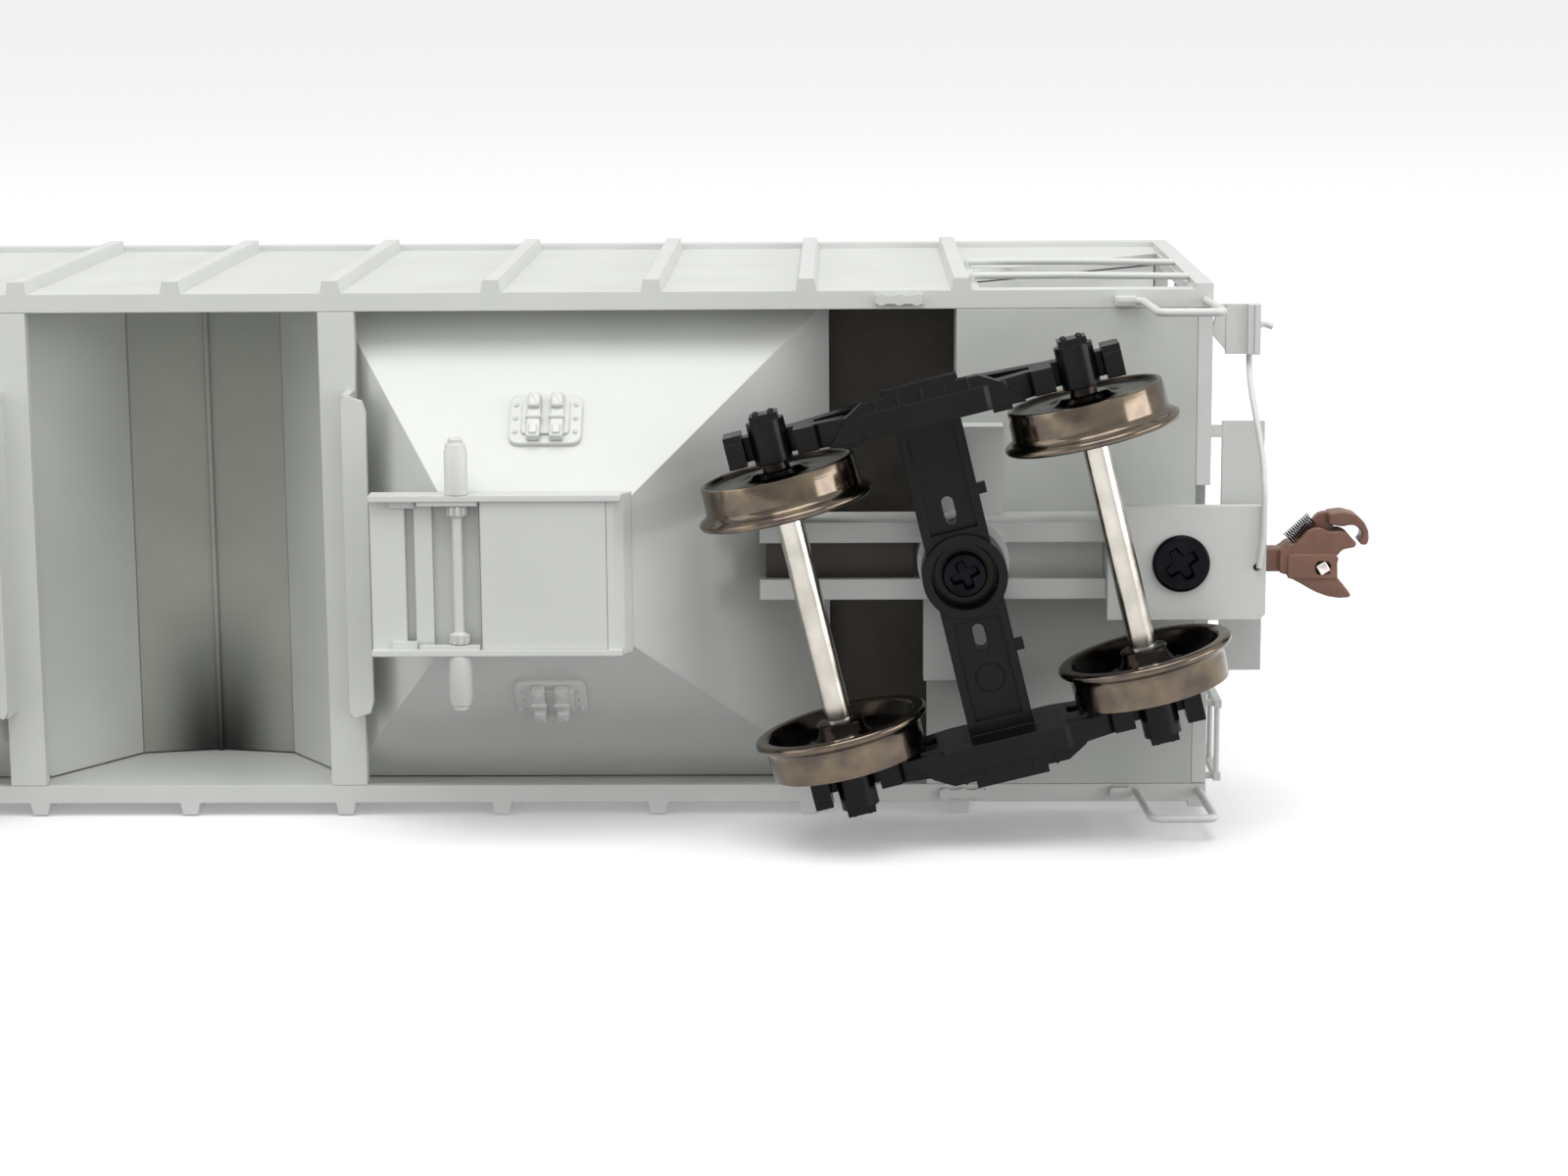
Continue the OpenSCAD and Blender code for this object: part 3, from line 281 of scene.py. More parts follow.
# Chemically tinted tread: brown gold, clouded, with a sharp streak where a lamp shines
tinted_tread = {e: turned("bronze_tinted_tread_" + e, ("#5A514C", "#786C5B"), 0.14, y,
                          ring_mm=0.14, ring_depth=0.003) for e, y in yaws.items()}
# Blackened web: nearly black, but glossy enough to catch the rim's light
blackened_dish = {e: turned("blackened_wheel_dish_" + e, ("#1C1816", "#2E2824"), 0.18, y,
                            ring_mm=0.3, ring_depth=0.004) for e, y in yaws.items()}
# Blackened steel: a dark oxide skin with a low shine
black_oxide = turned("black_oxide_screw", ("#131416", "#1C1D20"), 0.3, 0.0, ring_mm=0.2,
                     ring_depth=0.003)
# Raw steel ballast, a very dark warm brown
raw_steel = moulded("dark_brown_steel_ballast", ("#29241E", "#3A352E"), 0.62, peel_mm=0.5,
                    peel_depth=0.02, edge_mm=0.1, patch_mm=2.5, IOR=1.5)
# Music wire, oiled dark
spring_wire = turned("dark_spring_wire", ("#17161A", "#232228"), 0.4, 0.0, ring_mm=0.5)
# Cut steel rivet: bright, a little frosted by the cutter
rivet_steel = turned("bright_cut_rivet", ("#CFCBC6", "#E2DFDA"), 0.25, 0.0, ring_mm=0.2)
print("metals:", [m.name for m in bpy.data.materials if "_" in m.name][-10:])

# %% [markdown]
# ## Dress the CAD nodes
# Parts whose shape is right stay as the CAD made them, and only their material slots change.
# The record says which finish group each node belongs to, so a table from group to finish
# dresses them all. Two kinds of sheet have their own grey: the ridge sheets carry painted shade
# deep in the gaps, and the end platforms are a darker, duller grey.

# %% Give every node its finish
FINISH = {"grey_plastic": grey_paint, "black_plastic": black_acetal,
          "brown_plastic": brown_acetal, "black_steel": black_oxide, "dark_steel": raw_steel,
          "spring_steel": spring_wire, "nickel": bright_nickel["b"],
          "wheel_metal": tinted_tread["b"]}
slots = {row["node"]: row["material_slot"] for row in frame["record"]["subparts"]}
for name, obj in nodes.items():
    for place in obj.material_slots:
        place.material = FINISH[slots[name]]
for name, finish in (("ridge_sheets", gap_shade_paint), ("end_platforms", platform_grey)):
    for place in nodes[name].material_slots:
        place.material = finish
print(len(nodes), "nodes dressed")

# %% [markdown]
# ## Surfaces from numpy
# A new piece is a grid of points: a profile turned about an axis, a ring swept along a path,
# or an outline lifted through a rounded edge. Whole arrays are worked out at once. One
# function then merges the doubled seam and pole points, turns the faces outwards and keeps
# only the real corners sharp.

# %% Grid and mesh helpers
def grid_faces(rows, cols):
    """Quads between neighbours on a rows x cols grid whose columns close on themselves."""
    r, c = np.meshgrid(np.arange(rows - 1), np.arange(cols), indexing="ij")
    here, right = r * cols + c, r * cols + (c + 1) % cols
    return np.stack([here, right, right + cols, here + cols], -1).reshape(-1, 4).tolist()


def shell(points, caps=False):
    """(points, faces) of a rows x cols grid of points; caps close the first and last row."""
    rows, cols = points.shape[:2]
    faces = grid_faces(rows, cols)
    if caps:
        faces += [list(range(cols))[::-1], list(range((rows - 1) * cols, rows * cols))]
    return points.reshape(-1, 3), faces


def moved(part, origin=(0, 0, 0), x=(1, 0, 0), y=(0, 1, 0), z=(0, 0, 1)):
    """Each point becomes origin + px * x + py * y + pz * z."""
    return part[0] @ np.array([x, y, z], float) + np.array(origin, float), part[1]


def joined(parts):
    """Several (points, faces) as one."""
    starts = np.cumsum([0] + [len(p) for p, _ in parts[:-1]])
    faces = [[i + int(s) for i in face] for s, (_, f) in zip(starts, parts) for face in f]
    return np.concatenate([p for p, _ in parts]), faces


def piece(name, parts, finish, body, replaces=(), sharp=38, second=None, paint=None):
    """Parts in mm become one mesh in metres that rides on a body. Its doubles are merged and
    its normals turned outwards; paint(centres) picks the faces of the second finish."""
    points, faces = joined(parts) if isinstance(parts, list) else parts
    mesh = bpy.data.meshes.new(name)
    mesh.from_pydata((points * MM).tolist(), [], faces)
    bm = bmesh.new()
    bm.from_mesh(mesh)
    bmesh.ops.remove_doubles(bm, verts=bm.verts, dist=1e-7)
    bmesh.ops.dissolve_degenerate(bm, edges=bm.edges, dist=1e-8)
    bmesh.ops.recalc_face_normals(bm, faces=bm.faces)
    bm.to_mesh(mesh)
    bm.free()
    mesh.materials.append(finish)
    mesh.polygons.foreach_set("use_smooth", np.ones(len(mesh.polygons), bool))
    mesh.set_sharp_from_angle(angle=math.radians(sharp))
    if second:
        mesh.materials.append(second)
        centres = np.empty(len(mesh.polygons) * 3)
        mesh.polygons.foreach_get("center", centres)
        pick = paint(centres.reshape(-1, 3) / MM)
        mesh.polygons.foreach_set("material_index", pick.astype(np.int32))
    obj = bpy.data.objects.new(name, mesh)
    bpy.context.scene.collection.objects.link(obj)
    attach(obj, body)
    if replaces:
        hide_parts(*replaces)
    return obj


def lathe(profile, steps=96):
    """Each (radius, height) pair of the profile is turned about Y: (r cos a, h, r sin a)."""
    r, h = np.array(profile, float).T
    a = np.linspace(0, 2 * np.pi, steps, endpoint=False)
    return shell(np.stack([r[:, None] * np.cos(a), np.repeat(h[:, None], steps, 1),
                           r[:, None] * np.sin(a)], -1))


def rounded(corners, bend, steps=6, closed=False):
    """Each corner P is cut back by bend on both legs, and the curve between the cuts A and B
    is (1-t)^2 A + 2t(1-t) P + t^2 B."""
    p = np.array(corners, float)
    before, after = np.roll(p, 1, 0) - p, np.roll(p, -1, 0) - p
    reach = np.minimum(bend, 0.45 * np.minimum(np.linalg.norm(before, axis=1),
                                               np.linalg.norm(after, axis=1)))[:, None]
    a = p + before / np.linalg.norm(before, axis=1)[:, None] * reach
    b = p + after / np.linalg.norm(after, axis=1)[:, None] * reach
    t = np.linspace(0, 1, steps)[None, :, None]
    arcs = (1 - t) ** 2 * a[:, None] + 2 * t * (1 - t) * p[:, None] + t ** 2 * b[:, None]
    if closed:
        return arcs.reshape(-1, p.shape[1])
    return np.concatenate([p[:1], arcs[1:-1].reshape(-1, p.shape[1]), p[-1:]])


def sweep(path, radius, flat, sides=10):
    """A ring of the given radius is carried along the path; flat is never along the path. The
    end rings shrink to nothing, which closes them."""
    path = np.array(path, float)
    t = np.gradient(path, axis=0)
    t /= np.linalg.norm(t, axis=1)[:, None]
    s = np.cross(t, flat)
    s /= np.linalg.norm(s, axis=1)[:, None]
    n = np.cross(s, t)
    a = np.linspace(0, 2 * np.pi, sides, endpoint=False)
    r = np.broadcast_to(np.asarray(radius, float), (len(path),)).copy()
    ring = np.cos(a)[None, :, None] * s[:, None] + np.sin(a)[None, :, None] * n[:, None]
    body = path[:, None] + r[:, None, None] * ring
    first = np.repeat(path[:1, None], sides, 1)
    last = np.repeat(path[-1:, None], sides, 1)
    return shell(np.concatenate([first, body, last]))


def slab(outline, low, high, edge, steps=4):
    """An outline, counter-clockwise, lifted from low to high. Near each face it draws in by
    edge * (1 - cos a) while it rises by edge * sin a, so that the rim is a quarter round."""
    o = np.array(outline, float)
    d = np.roll(o, -1, 0) - np.roll(o, 1, 0)
    length = np.maximum(np.linalg.norm(d, axis=1), 1e-9)
    out = np.stack([d[:, 1], -d[:, 0]], 1) / length[:, None]
    a = np.linspace(0, np.pi / 2, steps)
    inset = edge * np.concatenate([1 - np.sin(a), 1 - np.cos(a)])
    z = np.concatenate([low + edge * (1 - np.cos(a)), high - edge * (1 - np.sin(a))])
    xy = o[None] - inset[:, None, None] * out[None]
    heights = np.broadcast_to(z[:, None, None], (*xy.shape[:2], 1))
    return shell(np.concatenate([xy, heights], -1), caps=True)


def bars(lows, highs):
    """Many boxes at once, from arrays of low and high corners."""
    lows, highs = np.array(lows, float), np.array(highs, float)
    pick = np.array([[i, j, k] for i in (0, 1) for j in (0, 1) for k in (0, 1)])
    points = lows[:, None] + (highs - lows)[:, None] * pick[None]
    quads = np.array([[0, 1, 3, 2], [4, 6, 7, 5], [0, 4, 5, 1], [2, 3, 7, 6], [0, 2, 6, 4],
                      [1, 5, 7, 3]])
    faces = (quads[None] + 8 * np.arange(len(lows))[:, None, None]).reshape(-1, 4)
    return points.reshape(-1, 3), faces.tolist()


def half_turned(part):
    """The same part turned half round at the car's other end."""
    return moved(part, x=(-1, 0, 0), y=(0, -1, 0))


def mirrored(part):
    """The same part on the car's other side."""
    return moved(part, y=(0, -1, 0))


print("surface helpers ready")

# %% [markdown]
# ## Wheelsets
# A wheel is turned: a rounded flange, a coned tread, a thin rim and a dished web on a hub. The
# axle between is a plain bar with pointed ends. Both are profiles turned about the axle, so a
# lathe function makes them with true fillets. The webs are blackened and the treads are not,
# so each face takes its finish from where it lies on the profile.

# %% Turn the wheelsets
AXLE_Z = 5.9
BOLSTER_X, PIN_Y, HALF_BASE = 75.34, 0.4, 10.4
END_PLAY = 0.15
BACK, FACE = 7.4, 10.2
WEB_R, OUTSIDE = 4.88, 9.9


def truck_point(end, u, v):
    """A truck's own (u, v) on the car: turned by its swivel and set on its kingpin."""
    c, s = math.cos(yaws[end]), math.sin(yaws[end])
    x = BOLSTER_X if end == "a" else -BOLSTER_X
    return x + u * c - v * s, PIN_Y + u * s + v * c


def on_truck(end, part, u=0.0, v=0.0, z=0.0):
    """Moves a part from a truck's own axes to the car's."""
    c, s = math.cos(yaws[end]), math.sin(yaws[end])
    return moved(part, (*truck_point(end, u, v), z), x=(c, s, 0), y=(-s, c, 0))


def quarter(cr, ch, r, a0, a1, steps=7):
    """Profile points on an arc about (cr, ch)."""
    a = np.radians(np.linspace(a0, a1, steps))
    return [(cr + r * math.cos(k), ch + r * math.sin(k)) for k in a]


wheel_profile = (
    [(0.9, BACK - 0.2), (1.4, BACK - 0.2)] + quarter(1.4, BACK, 0.2, -70, 0, 4)
    + [(1.72, BACK + 0.5), (2.0, BACK + 0.85), (2.6, BACK + 1.05), (4.0, BACK + 1.1)]
    + [(4.5, BACK + 0.95), (4.8, BACK + 0.55), (4.95, BACK + 0.14), (5.1, BACK + 0.02)]
    + [(5.5, BACK)] + quarter(5.62, BACK + 0.27, 0.27, -80, 60, 9)
    + [(5.66, BACK + 0.58), (5.5, BACK + 0.66), (5.36, BACK + 0.76), (5.27, BACK + 0.95)]
    + [(5.25, BACK + 1.2), (5.2, FACE - 0.14), (5.16, FACE - 0.03), (5.06, FACE)]
    + [(4.96, FACE), (4.88, FACE - 0.06), (4.78, FACE - 0.26), (4.6, FACE - 0.34)]
    + [(2.4, FACE - 0.3), (1.9, FACE - 0.2), (1.65, FACE), (1.5, FACE + 0.05)]
    + [(0.9, FACE + 0.05), (0.9, BACK - 0.2)])
axle_profile = [(0, -12.72), (0.16, -12.6), (0.92, -11.25), (0.92, -9.8), (0.92, 9.8),
                (0.92, 11.25), (0.16, 12.6), (0, 12.72)]


def is_dish(end, u):
    """Faces whose distance from the axle's line is under WEB_R belong to a web or hub."""
    x, y = truck_point(end, u, 0)
    c, s = math.cos(yaws[end]), math.sin(yaws[end])

    def test(centres):
        """True for the faces of a web or hub."""
        across = (centres[:, 0] - x) * c + (centres[:, 1] - y) * s
        return np.hypot(across, centres[:, 2] - AXLE_Z) < WEB_R
    return test


def outside_wheels(end, u):
    """Axle faces more than OUTSIDE along the axle from its middle lie outside the wheels."""
    x, y = truck_point(end, u, 0)
    c, s = math.cos(yaws[end]), math.sin(yaws[end])
    return lambda centres: np.abs((centres[:, 1] - y) * c - (centres[:, 0] - x) * s) > OUTSIDE


for end, number, u in (("a", 1, HALF_BASE), ("a", 2, -HALF_BASE), ("b", 1, -HALF_BASE),
                       ("b", 2, HALF_BASE)):
    key = f"{end}{number}"
    one = lathe(wheel_profile)
    pair = [on_truck(end, moved(wheel, (0, END_PLAY, 0)), u, 0, AXLE_Z)
            for wheel in (one, mirrored(one))]
    piece("wheel_pair_" + key, pair, tinted_tread[end], "wheelset_" + key, ["wheels_" + key],
          second=blackened_dish[end], paint=is_dish(end, u), sharp=30)
    bar = on_truck(end, moved(lathe(axle_profile, 64), (0, END_PLAY, 0)), u, 0, AXLE_Z)
    piece("axle_bar_" + key, bar, bright_nickel[end], "wheelset_" + key, ["axle_" + key],
          second=blackened_dish[end], paint=outside_wheels(end, u))
print("wheelsets turned:", len(wheel_profile), "points on a wheel's profile")

# %% [markdown]
# ## Truck details
# The side frames come from the CAD. On them go the coils of the bolster springs, four bolts on
# each bearing cap, and on the bolster the round mark that an ejector pin leaves in a moulding.

# %% Add springs, bolts and ejector marks
def coil(foot, top, radius, wire, turns, per_turn=14, sides=7):
    """A helix: radius * (cos a, sin a) about Z while it climbs from foot to top."""
    s = np.linspace(0, 1, int(turns * per_turn) + 1)
    a = 2 * np.pi * turns * s
    path = np.stack([radius * np.cos(a), radius * np.sin(a), foot + (top - foot) * s], 1)
    return sweep(path, wire, (0, 0, 1), sides)


def dome(radius, height, steps=16, rings=4):
    """A low dome on a short wall: (radius cos b, height sin b) turned about Z."""
    b = np.linspace(0, np.pi / 2, rings)
    profile = [(0, -0.1), (radius, -0.1)] + list(zip(radius * np.cos(b), height * np.sin(b)))
    return moved(lathe(profile, steps), y=(0, 0, 1), z=(0, 1, 0))


def ring_mark(radius, width, foot):
    """A thin raised ring whose section is a low arch."""
    a = np.linspace(0, np.pi, 5)
    profile = [(radius + width * math.cos(k), -0.035 * math.sin(k)) for k in a] + [
        (radius - width, 0.05), (radius + width, 0.05), (radius + width, 0)]
    return moved(moved(lathe(profile, 48), y=(0, 0, 1), z=(0, 1, 0)), (0, 0, foot))


SPRING_U, SPRING_V = (-1.95, 0, 1.95), 11.7
CAP_V, BOLT_X, BOLT_Z = 13.9, 0.52, 0.45
for end in "ab":
    parts = []
    for side in (1, -1):
        for u in SPRING_U:
            parts.append(on_truck(end, coil(5.05, 7.9, 0.72, 0.17, 4.5), u, side * SPRING_V))
        for j in (HALF_BASE, -HALF_BASE):
            for dx, dz in ((-BOLT_X, -BOLT_Z), (BOLT_X, -BOLT_Z), (-BOLT_X, BOLT_Z),
                           (BOLT_X, BOLT_Z)):
                bolt = moved(dome(0.24, 0.16), (j + dx, side * CAP_V, AXLE_Z + dz),
                             x=(1, 0, 0), y=(0, 0, 1), z=(0, side, 0))
                parts.append(on_truck(end, bolt))
    parts.append(on_truck(end, ring_mark(0.95, 0.07, 6.94), 0.05, 7.2))
    piece("truck_fittings_" + end, parts, black_acetal, "truck_" + end)
print("truck fittings added")

# %% [markdown]
# ## Screws
# Each draft gear cover is held by a blackened pan-head screw, and each truck swivels on a
# smaller one. A head could be cut with booleans, but a height field over rings and spokes is
# cleaner: the depth of the cross recess is a smooth function of the place on the head.

# %% Shape the screw heads
def smooth(x, edge0, edge1):
    """0 below edge0, 1 above edge1 and 3t^2 - 2t^3 between."""
    t = np.clip((x - edge0) / (edge1 - edge0), 0, 1)
    return t * t * (3 - 2 * t)


SOFT, ARM_END = 0.06, 0.2


def screw_head(radius, thick, arm, half_width, depth, turn, rings=34, spokes=144):
    """Height over (r, a): a flat pan that rolls off at its rim, less depth inside a cross. The
    cross is the union of two bars, |x| < arm with |y| < half_width and the other way round."""
    r = np.linspace(0, 1, rings) ** 0.9 * radius
    a = np.linspace(0, 2 * np.pi, spokes, endpoint=False)
    x = r[:, None] * np.cos(a - math.radians(turn))
    y = r[:, None] * np.sin(a - math.radians(turn))
    reach = np.hypot(x, y)
    taper = half_width * (1.25 - 0.45 * reach / arm)

    def bar(across, along):
        """1 inside a tapering bar, falling smoothly to 0 over its edges."""
        return ((1 - smooth(np.abs(across), taper - SOFT, taper + SOFT))
                * (1 - smooth(np.abs(along), arm - ARM_END, arm)))

    roll = radius * 0.13
    fall = roll - np.sqrt(np.maximum(roll ** 2 - np.maximum(reach - radius + roll, 0) ** 2, 0))
    z = fall + depth * np.maximum(bar(y, x), bar(x, y))
    top = np.stack([r[:, None] * np.cos(a), r[:, None] * np.sin(a), z], -1)
    rim = top[-1:].copy()
    rim[..., 2] = thick
    foot = np.zeros_like(rim)
    foot[..., 2] = thick
    return shell(np.concatenate([top, rim, foot]))


COVER_X, COVER_TOP, KING_TOP = 89.9, 8.25, 6.6
cover_head = moved(screw_head(1.93, 0.44, 1.18, 0.36, 0.38, 56), (COVER_X, 0, COVER_TOP))
cover_stem = moved(lathe([(0, 8.6), (0.74, 8.6), (0.74, 12.6), (0, 12.9)], 32),
                   (COVER_X, 0, 0), y=(0, 0, 1), z=(0, 1, 0))
cover_screw = [cover_head, cover_stem]
piece("cover_screw_heads", cover_screw + [half_turned(p) for p in cover_screw], black_oxide,
      "car", ["cover_screws"], sharp=50)
king_head = moved(screw_head(1.5, 0.95, 1.02, 0.31, 0.6, 78), (0, 0, KING_TOP))
king_stem = moved(lathe([(0, 7.5), (1.19, 7.5), (1.19, 13.3), (0, 13.4)], 48), y=(0, 0, 1),
                  z=(0, 1, 0))
for end in "ab":
    piece("king_screw_" + end, [on_truck(end, p) for p in (king_head, king_stem)],
          black_oxide, "car", sharp=50)
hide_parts("truck_screws")

# %% [markdown]
# ## Inspection plates
# On both slopes of each bay is a small bolted cover: a rounded plate, three rivets at each
# end and two hooked clamps on hinge barrels. It is modelled once in its own axes and placed
# six times, with its third axis along the slope's normal.

# %% Build the plates
def box_outline(x0, x1, y0, y1, bend):
    """A rectangle whose corners are rounded by bend."""
    return rounded([(x0, y0), (x1, y0), (x1, y1), (x0, y1)], bend, 6, closed=True)


def barrel_x(radius, x0, x1, y, z):
    """A short bar along X with its ends rounded off."""
    b = min(radius * 0.3, (x1 - x0) * 0.2)
    profile = [(0, x0), (radius - b, x0), (radius, x0 + b), (radius, x1 - b), (radius - b, x1),
               (0, x1)]
    return moved(lathe(profile, 20), (0, y, z), x=(0, 1, 0), y=(1, 0, 0), z=(0, 0, 1))


def plate_part():
    """The whole plate, lying on z = 0 with its length along x."""
    parts = [slab(box_outline(-2.45, 2.45, -2.1, 2.1, 0.8), -0.05, 0.32, 0.1),
             slab(box_outline(-1.62, 1.62, -1.5, 1.4, 0.35), 0.25, 0.52, 0.08)]
    for s in (-1, 1):
        x = 0.78 * s
        parts += [slab(box_outline(x - 0.46, x + 0.46, -1.78, 1.9, 0.16), 0.3, 0.9, 0.12),
                  slab(box_outline(x - 0.4, x + 0.4, -1.62, -0.45, 0.15), 0.8, 1.24, 0.14),
                  slab(box_outline(x - 0.26, x + 0.26, 0.9, 1.7, 0.12), 0.8, 1.02, 0.08),
                  barrel_x(0.17, x - 0.55, x + 0.55, 0.25, 0.9)]
        parts += [moved(dome(0.17, 0.12, 12), (2.05 * s, 1.15 * k, 0.32)) for k in (-1, 0, 1)]
    return joined(parts)


SLOPE_RUN, OUTLET_HALF, SLOPE_FOOT, PLATE_UP = 0.97, 5.1, 6.5, 4.5
PLATE_X = (-47.25, 0, 47.25)
lean = math.hypot(1, SLOPE_RUN)
down_slope = (0, SLOPE_RUN / lean, -1 / lean)
off_slope = (0, -1 / lean, -SLOPE_RUN / lean)
plates = [moved(plate_part(), (x, -OUTLET_HALF - PLATE_UP * SLOPE_RUN, SLOPE_FOOT + PLATE_UP),
                y=down_slope, z=off_slope) for x in PLATE_X]
piece("slope_inspection_plates", plates + [mirrored(p) for p in plates], grey_paint, "car",
      ["inspection_plates"])
print("plates on six slopes")

# %% [markdown]
# ## Gate shafts
# Each outlet gate slides on racks that a cross shaft drives: a toothed pinion inside each rail
# and a round capstan outside it. A tooth is a wave on the radius, flattened by a tanh.

# %% Build shafts and pinions
def pinion(teeth, radius, tooth, y0, y1):
    """Outline radius + tooth * tanh(3 cos(teeth * a)), as a slab along Y."""
    a = np.linspace(0, 2 * np.pi, teeth * 12, endpoint=False)
    r = radius + tooth * np.tanh(3 * np.cos(teeth * a))
    part = slab(np.stack([r * np.cos(a), r * np.sin(a)], 1), y0, y1, 0.03, 2)
    return moved(part, y=(0, 0, 1), z=(0, 1, 0))


def gate_shaft():
    """Shaft along Y through both rails, in the axes of its own line."""
    bar = lathe([(0, -4.7), (0.34, -4.7), (0.34, 4.7), (0, 4.7)], 24)
    collar = lathe([(0.3, 3.88), (0.46, 3.9), (0.5, 4.0), (0.5, 4.66), (0.3, 4.68)], 32)
    capstan = lathe([(0, 5.4), (0.78, 5.42), (0.78, 8.3), (0.7, 8.42), (0.7, 8.72),
                     (0.64, 8.82), (0.5, 8.86), (0.5, 9.1), (0.42, 9.18), (0, 9.2)], 40)
    ends = [pinion(9, 0.56, 0.13, 4.0, 4.64), collar, capstan]
    return joined([bar] + ends + [mirrored(p) for p in ends])


SHAFT_X, SHAFT_Z, BAY_MID = 41.7, 5.45, 46.85
line = moved(gate_shaft(), (SHAFT_X, 0, SHAFT_Z))
piece("gate_shaft_set", [line, half_turned(line), moved(line, (-BAY_MID, 0, 0))], grey_paint,
      "car", ["gate_shafts"])
print("three gate shafts")

# %% [markdown]
# ## Bent wires
# Levers, stirrups, rails and pipes are wires, bent and painted with the body. A wire's corners
# are parabolas between its straight legs, and a ring is swept along the whole path.

# %% Bend the wires
LEVER = [(96.6, -15.1, 15.9), (95.9, -15.4, 15.8), (95.1, -14.6, 15.6), (95, -13, 15.5),
         (94.9, -11.9, 14), (94.88, -11, 12.6), (95.1, -9.2, 11.1), (95.4, -6.8, 9.7),
         (95.4, -4.8, 8.5), (95.35, -1.8, 8.35), (95.1, 0.3, 8.4)]
STIRRUP = [(85.9, 17.1, 14.05), (87.6, 17.1, 14.05), (88, 17.1, 6.6), (92.3, 17.1, 6.6),
           (91.9, 17.1, 14.3)]
SIDE_Y, RAIL_X, RAIL_Z = 17.85, (76.29, 91.18), (20, 30.6)
WIRE_BEND = 0.7
PIPE_1 = [(-85.58, -3, 17.6), (-84.4, -3, 17.6), (-83.8, -3, 18.1), (-83.4, -3, 19.1),
          (-82.92, -3, 19.4)]
PIPE_2 = [(-87, -0.38, 17.2), (-87, 5.2, 17.2), (-87, 6.6, 17.8), (-87, 7.4, 18.9),
          (-87, 7.4, 20.2)]

lever = sweep(rounded(LEVER, WIRE_BEND), 0.21, (0, 0, 1))
piece("lever_wires", [lever, half_turned(lever)], grey_paint, "car", ["uncoupling_levers"])

stirrup = [sweep(rounded(STIRRUP, WIRE_BEND), 0.28, (0, 1, 0)),
           slab(box_outline(85.7, 87.2, 16.75, 17.45, 0.2), 13.8, 14.38, 0.08)]
corner_steps = stirrup + [mirrored(p) for p in stirrup]
piece("stirrup_wires", corner_steps + [half_turned(p) for p in corner_steps], grey_paint, "car",
      ["stirrup_steps"])

rails = []
for z in RAIL_Z:
    path = [(RAIL_X[0], SIDE_Y - 0.02, z), (RAIL_X[0], SIDE_Y + 0.45, z),
            (sum(RAIL_X) / 2, SIDE_Y + 0.5, z - 0.5), (RAIL_X[1], SIDE_Y + 0.45, z - 1.2)]
    rail = sweep(rounded(path, 0.4), 0.25, (0, 0, 1))
    rails += [rail, mirrored(rail)]
piece("corner_rail_wires", rails + [half_turned(r) for r in rails], grey_paint, "car",
      ["side_rails"])

piece("brake_pipe_wires", [sweep(rounded(PIPE_1, 0.4), 0.22, (0, 1, 0)),
                           sweep(rounded(PIPE_2, 0.4), 0.22, (1, 0, 0))],
      grey_paint, "car", ["brake_pipes"])
print("wires bent")

# %% [markdown]
# ## Couplers
# The coupler is a brown moulding: a shank, a head of two cheeks with a guard arm and a
# shoulder, and a curled knuckle that swings between them on a square-ended bright rivet. Each
# part is an outline lifted through a rounded rim. The cheeks need a hole, so their faces are
# ruled from the outline to a circle about the rivet. The knuckle's web lies above the coil, and
# its claw starts past the coil's end, so that the knuckle can open without meeting either.

# %% Mould the couplers
COUPLER_Z = 10.55
RIVET = (99.46, 0.42)


def holed_slab(outline, centre, radius, low, high, edge, steps=4):
    """Rows from the hole's lower rim out over the rounded outline and back to its upper rim.
    The circle's points lie at the same angles about the hole as the outline's."""
    o = np.array(outline, float) - centre
    rim = radius * o / np.linalg.norm(o, axis=1)[:, None] + centre
    points = slab(outline, low, high, edge, steps)[0].reshape(-1, len(o), 3)

    def circle(z):
        """One row of the hole's rim at height z."""
        return np.concatenate([rim, np.full((len(o), 1), z)], 1)[None]
    return shell(np.concatenate([circle(low), points, circle(high), circle(low)]))


def mould(corners, low, high, edge=0.14, bend=0.22):
    """A rounded outline as a slab."""
    return slab(rounded(corners, bend, 5, closed=True), low, high, edge)


CHEEK = [(97.1, -0.48), (98.7, -0.5), (100.25, -0.52), (100.52, -0.25), (100.42, 0.07),
         (100.46, 1.19), (98.8, 1.17), (97.1, 1.15)]
GUARD = [(97.1, 0.64), (98.5, 0.95), (99.46, 1.06), (100.35, 0.85), (100.53, 1.19),
         (100.8, 1.51), (101.24, 2.05), (101.4, 2.32), (101.3, 2.48), (100.62, 2.53),
         (99.88, 2.42), (99.13, 2.15), (98.6, 1.88), (97.96, 1.5), (97.32, 1.17), (97.1, 0.96)]
SHOULDER = [(97.24, -0.3), (97.39, -0.96), (98.01, -1.6), (98.45, -2.12), (98.83, -2.26),
            (99.36, -2.27), (99.83, -2.0), (100.73, -2.01), (101.14, -1.83), (101.4, -1.56),
            (101.72, -1.2), (101.6, -0.94), (101.17, -0.85), (100.75, -0.75), (100.4, -0.3)]
THROAT = [(96.55, -0.72), (96.8, -0.85), (97.2, -1.2), (97.6, -1.2), (98.3, -1.3), (98.3, 1.3),
          (97.3, 1.0), (96.55, 0.8)]
CLAW = [(99.85, -2.46), (99.85, -3.2), (100.8, -3.33), (101.66, -3.1), (102.26, -2.58),
        (102.53, -2.0), (102.57, -1.4), (102.42, -1.04), (102.02, -1.08), (101.9, -1.28),
        (102.12, -1.5), (102.13, -1.82), (101.94, -2.14), (101.58, -2.4), (101.2, -2.4),
        (100.8, -2.3)]
WEB = [(98.78, 0.3), (98.75, -1.2), (98.8, -2.2), (98.93, -2.72), (99.3, -3.08), (99.9, -3.2),
       (100.3, -2.3), (100.2, -1.2), (100.28, 0.3)]
